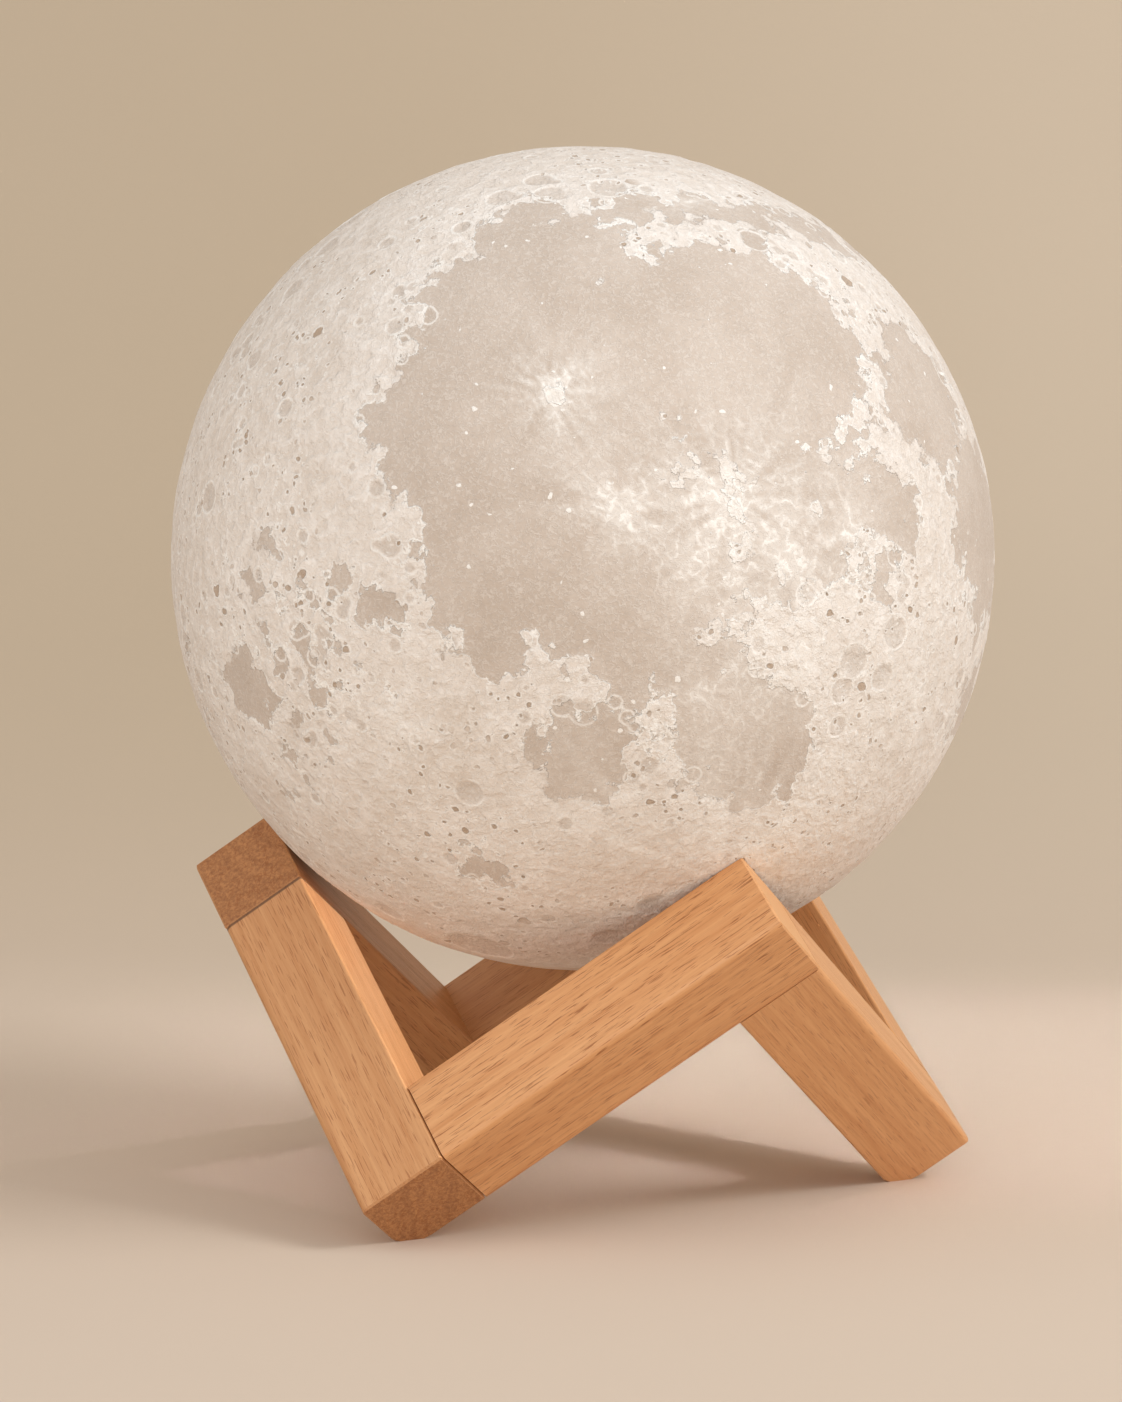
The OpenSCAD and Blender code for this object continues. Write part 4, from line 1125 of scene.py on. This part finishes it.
class MOONLAMP_OT_plastics(bpy.types.Operator):
    """Give the neck ring and the module's soft and moulded pieces their finish"""

    bl_idname = "moonlamp.plastics"
    bl_label = "Plastics and silicones"

    def execute(self, context):
        """Makes one finish for each row and gives it to the row's pieces."""
        m = settings().module
        clear = {"Transmission_Weight": 1.0, "IOR": 1.585}
        milky = {"Transmission_Weight": 0.35, "IOR": 1.49}
        # Name, slot and pieces, then what fine_grained takes: shade, how dull the darker tone is, size of
        # the grain and height of its bump in mm, range of roughness, stretch, and other sockets
        rows = (
            # Printed PLA laid in 0.2 mm layers, drawn at 0.4 mm so that they show: fine level lines
            ("printed_pla_ring", "white_plastic", ("neck_ring",), m.cream, 0.93, 0.4, 0.03,
             (0.62, 0.72), (0.03, 0.03, 1), {"IOR": 1.46}),
            # Moulded ABS from a spark-eroded mould: an even fine stipple and a dull sheen
            ("spark_textured_abs", "white_plastic", ("module_housing", "base_cover", "light_pedestal"),
             m.cream, 0.95, 0.35, 0.02, (0.5, 0.62), (1, 1, 1), {"IOR": 1.53}),
            # Frosted polypropylene, moulded thin: milky, with a soft uneven haze
            ("frosted_polypropylene", "frosted_plastic", ("frosted_dome",), m.frosted, 0.95, 1.2, 0.02,
             (0.5, 0.62), (1, 1, 1), milky),
            # Polycarbonate rod, polished: clear, with faint draw lines along it
            ("clear_polycarbonate", "clear_plastic", ("light_pipe",), m.glass, 0.96, 0.3, 0.005,
             (0.04, 0.1), (1, 1, 0.05), clear),
            # Indicator package: white moulded body with a hazy window
            ("indicator_package", "led_white", ("indicator_led",), m.coating, 0.9, 0.3, 0.01,
             (0.3, 0.45), (1, 1, 1), {"IOR": 1.5}),
            # Silicone wire insulation: supple, slightly waxy, with faint lengthwise drag lines
            ("red_silicone_insulation", "lead_red", ("red_lead",), m.red, 0.85, 0.4, 0.02,
             (0.42, 0.55), (1, 1, 0.06), {"IOR": 1.41}),
            ("black_silicone_insulation", "lead_black", ("black_lead",), m.black, 0.7, 0.4, 0.02,
             (0.42, 0.55), (1, 1, 0.06), {"IOR": 1.41}),
            ("white_silicone_insulation", "lead_white", ("light_leads",), m.white, 0.93, 0.4, 0.02,
             (0.42, 0.55), (1, 1, 0.06), {"IOR": 1.41}),
            # Silicone filled with ceramic powder, pressed flat: matt grey-blue, finely mottled
            ("filled_heat_silicone", "heat_silicone", ("heat_pad",), m.filler, 0.85, 0.5, 0.03,
             (0.6, 0.75), (1, 1, 1), {"IOR": 1.43}),
            # Moulded translucent silicone: soft cream with a satin face
            ("moulded_silicone", "cushion_silicone", ("cushion_ring",), m.cushion, 0.94, 0.9, 0.02,
             (0.38, 0.5), (1, 1, 1), {"IOR": 1.41, "Transmission_Weight": 0.15}),
        )
        for name, slot, nodes, shade, dull, grain_mm, bump_mm, gloss, stretch, more in rows:
            finish = fine_grained(name, shade, dull, grain_mm, bump_mm, gloss, stretch, **more)
            for node in nodes:
                dress(node, finish)
        dress("battery_pad", closed_cell_foam())
        return {"FINISHED"}


class MOONLAMP_OT_metals(bpy.types.Operator):
    """Give the module's metal pieces their finish"""

    bl_idname = "moonlamp.metals"
    bl_label = "Metals"

    def execute(self, context):
        """Steel, gold and zinc, and the battery's foil."""
        m = settings().module
        dress("touch_ring", brushed_stainless())
        # Stainless sheet drawn into a shell: faint lines along the draw
        port = fine_grained(
            "drawn_stainless", m.steel, 0.85, 0.3, 0.01, (0.22, 0.36), (1, 1, 0.05), Metallic=1.0
        )
        dress("charging_port", port)
        # Gold plating on a turned spring pin: warm and bright, with level turning marks
        pin = fine_grained(
            "gold_plated_pin", m.gold, 0.85, 0.25, 0.01, (0.18, 0.3), (0.05, 0.05, 1), Metallic=1.0
        )
        dress("touch_pin", pin)
        # Zinc plating on rolled screws: cool grey, slightly clouded
        screws = fine_grained("zinc_plated_steel", m.zinc, 0.82, 0.8, 0.01, (0.28, 0.45), Metallic=1.0)
        dress("cover_screws", screws)
        dress("battery_pouch", laminated_foil())
        return {"FINISHED"}


class MOONLAMP_OT_electronics(bpy.types.Operator):
    """Give the boards and what they carry their finish"""

    bl_idname = "moonlamp.electronics"
    bl_label = "Electronics"

    def execute(self, context):
        """Both boards, the packages, the light chips and the port's contacts."""
        m = settings().module
        # Glass-fibre board: the cut edge is bare resin. Its 0.15 mm tracks are drawn at 0.3 mm
        green = solder_mask("green_glass_fibre_board", m.mask, 0.3, m.birch, 0.0)
        dress("control_board", green)
        # Aluminium board: the cut edge is bare metal under the white coating
        white = solder_mask("white_coated_aluminium_board", m.coating, 0.5, m.tin, 1.0)
        dress("light_board", white)
        dress("board_parts", moulded_packages())
        dress("light_chips", phosphor_chips())
        dress("port_tongue", contact_carrier())
        return {"FINISHED"}


# ------------------------------------------------------------ camera and stage


class MOONLAMP_OT_camera(bpy.types.Operator):
    """Place the portrait camera"""

    bl_idname = "moonlamp.camera"
    bl_label = "Camera"

    def execute(self, context):
        """Stands the camera 0.8 m off, almost as high as the globe's top, looking slightly down."""
        view = settings().camera
        right, up, back = camera_axes()
        data = bpy.data.cameras.new("portrait_camera")
        data.sensor_fit = "AUTO"
        data.sensor_width = 36.0
        data.lens = view.focal_px * data.sensor_width / PORTRAIT_LONG_SIDE
        data.clip_start = 0.01
        data.clip_end = 20.0
        camera = bpy.data.objects.new("portrait_camera", data)
        stand_mid = Vector((0, 0, STAND_MID))
        camera.location = stand_mid + back * view.distance + right * view.aim_right + up * view.aim_up
        camera.rotation_euler = Matrix((right, up, back)).transposed().to_euler()
        context.scene.collection.objects.link(camera)
        context.scene.camera = camera
        return {"FINISHED"}


def painted_board():
    """Matt painted board: beige with the faintest roller mottle, painted shade up the wall and painted light
    towards the key. Only its front can be seen.
    """
    s = settings().stage
    made, tree, surface = new_finish("painted_board")
    # Places are in metres here: the mottle's patches are 11 cm wide and the roller's marks 1 mm
    coords = add(tree, "TexCoord").outputs["Object"]
    mottle = add(tree, "TexNoise", {"Vector": coords, "Scale": 9.0, "Detail": 3.0})
    right, _, back = camera_axes()
    # The floor's colour turns into the wall's darker one, painted shade, from 0.1 to 0.5 m behind the lamp
    behind_lamp = add(tree, "VectorMath", {0: coords, 1: -back}, operation="DOT_PRODUCT").outputs["Value"]
    rise = add(tree, "MapRange", {"Value": behind_lamp, "From Min": 0.1, "From Max": 0.5}, **SMOOTH)
    # Painted light: the wall turns lighter towards the right, where the key light stands
    rightward = add(tree, "VectorMath", {0: coords, 1: right}, operation="DOT_PRODUCT").outputs["Value"]
    bright = add(tree, "MapRange", {"Value": rightward, "From Min": -0.1, "From Max": 0.2}, **SMOOTH)
    wall = add(tree, "Mix", {"Factor": bright, "A": s.wall, "B": s.wall_painted_light}, data_type="RGBA")
    risen = add(tree, "Mix", {"Factor": rise, "A": s.floor, "B": wall}, data_type="RGBA")
    shade = two_tones(tree, mottle, risen, 0.965)
    roller = add(tree, "TexNoise", {"Vector": coords, "Scale": 900.0, "Detail": 2.0})
    bump = add(tree, "Bump", {"Height": roller, "Distance": 0.05 * MM, "Strength": 0.5})
    finish_with(tree, surface, Base_Color=shade, Normal=bump, Roughness=0.9, Specular_IOR_Level=0.2)
    behind = add(tree, "NewGeometry").outputs["Backfacing"]
    clear = add(tree, "BsdfTransparent")
    seen = add(tree, "MixShader", {0: behind, 1: surface, 2: clear})
    output = next(n for n in tree.nodes if n.type == "OUTPUT_MATERIAL")
    tree.links.new(seen.outputs[0], output.inputs["Surface"])
    return made


# What each of these lights falls on, and what stands in its way
LIGHT_LINKS = {
    "inner_card": (("front_left_stick",), ("front_left_stick", "front_right_stick")),
    "outer_card": (("front_right_stick", "right_stick", "rear_right_stick"),) * 2,
    "table_spot": (("floor_sweep",), tuple(stick[0] for stick in STICKS)),
}
# Middle of the pool of light on the table: behind the right foot, where the globe would shade it
SPOT_AIM = (-0.009, 0.098, 0)


def sweep_mesh():
    """A floor that runs level under the lamp and curves up into a wall behind it."""
    s = settings().stage
    right, _, back = camera_axes()
    level_back = Vector((back.x, back.y, 0)).normalized()
    half_width, depth_front, wall_height, steps = 3.0, 3.0, 2.2, 24
    sweep = bmesh.new()
    start = level_back * depth_front
    edge = [sweep.verts.new(start + right * half_width * side) for side in (-1, 1)]
    line = [sweep.edges.new(edge)]
    turns = [math.pi / 2 * k / steps for k in range(steps + 1)]
    stops = [(s.wall_gap + s.sweep_r * math.sin(t), s.sweep_r * (1 - math.cos(t))) for t in turns]
    stops.append((s.wall_gap + s.sweep_r, wall_height))
    past = (-depth_front, 0.0)
    for away, height in stops:
        made = bmesh.ops.extrude_edge_only(sweep, edges=line)["geom"]
        line = [g for g in made if isinstance(g, bmesh.types.BMEdge)]
        moved = [g for g in made if isinstance(g, bmesh.types.BMVert)]
        shift = -level_back * (away - past[0]) + Vector((0, 0, height - past[1]))
        bmesh.ops.translate(sweep, verts=moved, vec=shift)
        past = (away, height)
    bmesh.ops.recalc_face_normals(sweep, faces=sweep.faces[:])
    sweep.faces.ensure_lookup_table()
    if sweep.faces[0].normal.z < 0:
        bmesh.ops.reverse_faces(sweep, faces=sweep.faces[:])
    for face in sweep.faces:
        face.smooth = True
    return sweep


def soft_box(name, aim, direction, power, size, more):
    """A square light that looks at a place from the given direction."""
    toward = Vector(direction).normalized()
    lamp = bpy.data.lights.new(name, "AREA")
    lamp.shape = "SQUARE"
    lamp.size = size
    lamp.energy = power
    for option, value in more.items():
        setattr(lamp, option, value)
    box = bpy.data.objects.new(name, lamp)
    box.location = Vector(aim) + toward * settings().stage.light_gap
    box.rotation_euler = toward.to_track_quat("Z", "Y").to_euler()
    bpy.context.scene.collection.objects.link(box)
    return box


def link_light(box, floor):
    """Keeps a light to the pieces that LIGHT_LINKS names for it."""
    lit, blocking = (bpy.data.collections.new(box.name + part) for part in ("_lit", "_blocking"))
    for group, things in zip((lit, blocking), LIGHT_LINKS[box.name]):
        for thing in things:
            group.objects.link(floor if thing == "floor_sweep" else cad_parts[thing])
    box.light_linking.receiver_collection = lit
    box.light_linking.blocker_collection = blocking


class MOONLAMP_OT_stage(bpy.types.Operator):
    """Build the floor sweep and the lights"""

    bl_idname = "moonlamp.stage"
    bl_label = "Floor and light"

    def execute(self, context):
        """Places the floor sweep, three soft boxes, two cards, a dim table spot and even room light."""
        s = settings().stage
        floor = place_mesh("floor_sweep", sweep_mesh(), painted_board())

        # Two cards on the right light the stick faces that look at them, the left ones past the globe.
        # A spot lights the table behind the right foot, past the globe
        to_card = stick_axes(0)[1]
        low_tint = {"color": s.low_tint[:3]}
        beam = {"spread": s.spot_spread}
        boxes = (
            ("key_box", GLOBE_MID, (0.8, 0.2, 0.6), s.key_power, s.key_size, {}),
            ("front_box", GLOBE_MID, (-0.1, -0.75, 0.75), s.front_power, s.front_size, {}),
            ("low_box", GLOBE_MID, (0.34, -0.94, 0.08), s.low_power, s.low_size, low_tint),
            ("inner_card", GLOBE_MID, to_card, s.inner_power, s.card_size, {}),
            ("outer_card", GLOBE_MID, to_card, s.outer_power, s.card_size, {}),
            ("table_spot", SPOT_AIM, (0.5, 0.3, 0.8), s.spot_power, s.spot_size, beam),
        )
        for name, *look in boxes:
            box = soft_box(name, *look)
            if name in LIGHT_LINKS:
                link_light(box, floor)

        world = bpy.data.worlds.new("even_room_light")
        world.use_nodes = True
        sky = world.node_tree.nodes["Background"]
        sky.inputs["Color"].default_value = s.sky
        sky.inputs["Strength"].default_value = s.sky_strength
        context.scene.world = world
        context.scene.view_settings.view_transform = "Standard"
        return {"FINISHED"}


# ------------------------------------------------------------ panel and registration


class MoonLampSettings(bpy.types.PropertyGroup):
    """Everything that a user may change."""

    camera: PointerProperty(type=MoonLampCamera, name="Camera", description="Portrait camera")
    stage: PointerProperty(type=MoonLampStage, name="Stage", description="Floor and light")
    globe: PointerProperty(type=MoonLampGlobe, name="Globe", description="Printed globe")
    wood: PointerProperty(type=MoonLampWood, name="Wood", description="Beech stand")
    module: PointerProperty(type=MoonLampModule, name="Module", description="Module, neck ring and dowels")


STEPS = (
    MOONLAMP_OT_camera, MOONLAMP_OT_globe, MOONLAMP_OT_stand, MOONLAMP_OT_dowels, MOONLAMP_OT_plastics,
    MOONLAMP_OT_metals, MOONLAMP_OT_electronics, MOONLAMP_OT_stage,
)


class MOONLAMP_PT_tools(bpy.types.Panel):
    """The lamp's tools in the sidebar"""

    bl_idname = "MOONLAMP_PT_tools"
    bl_label = "Moon lamp"
    bl_space_type = "VIEW_3D"
    bl_region_type = "UI"
    bl_category = "Moon lamp"

    def draw(self, context):
        """Lists one button for each step."""
        for step in STEPS:
            self.layout.operator(step.bl_idname)


CLASSES = (
    MoonLampCamera, MoonLampStage, MoonLampGlobe, MoonLampWood, MoonLampModule, MoonLampSettings,
    *STEPS, MOONLAMP_PT_tools,
)


def register():
    """Adds the classes and the settings."""
    for kind in CLASSES:
        bpy.utils.register_class(kind)
    bpy.types.Scene.moon_lamp = PointerProperty(type=MoonLampSettings)


def unregister():
    """Takes the settings and the classes away."""
    del bpy.types.Scene.moon_lamp
    for kind in reversed(CLASSES):
        bpy.utils.unregister_class(kind)


def main():
    """Builds the lamp step by step."""
    register()
    for step in STEPS:
        group, name = step.bl_idname.split(".")
        getattr(getattr(bpy.ops, group), name)()


if __name__ == "__main__":
    main()
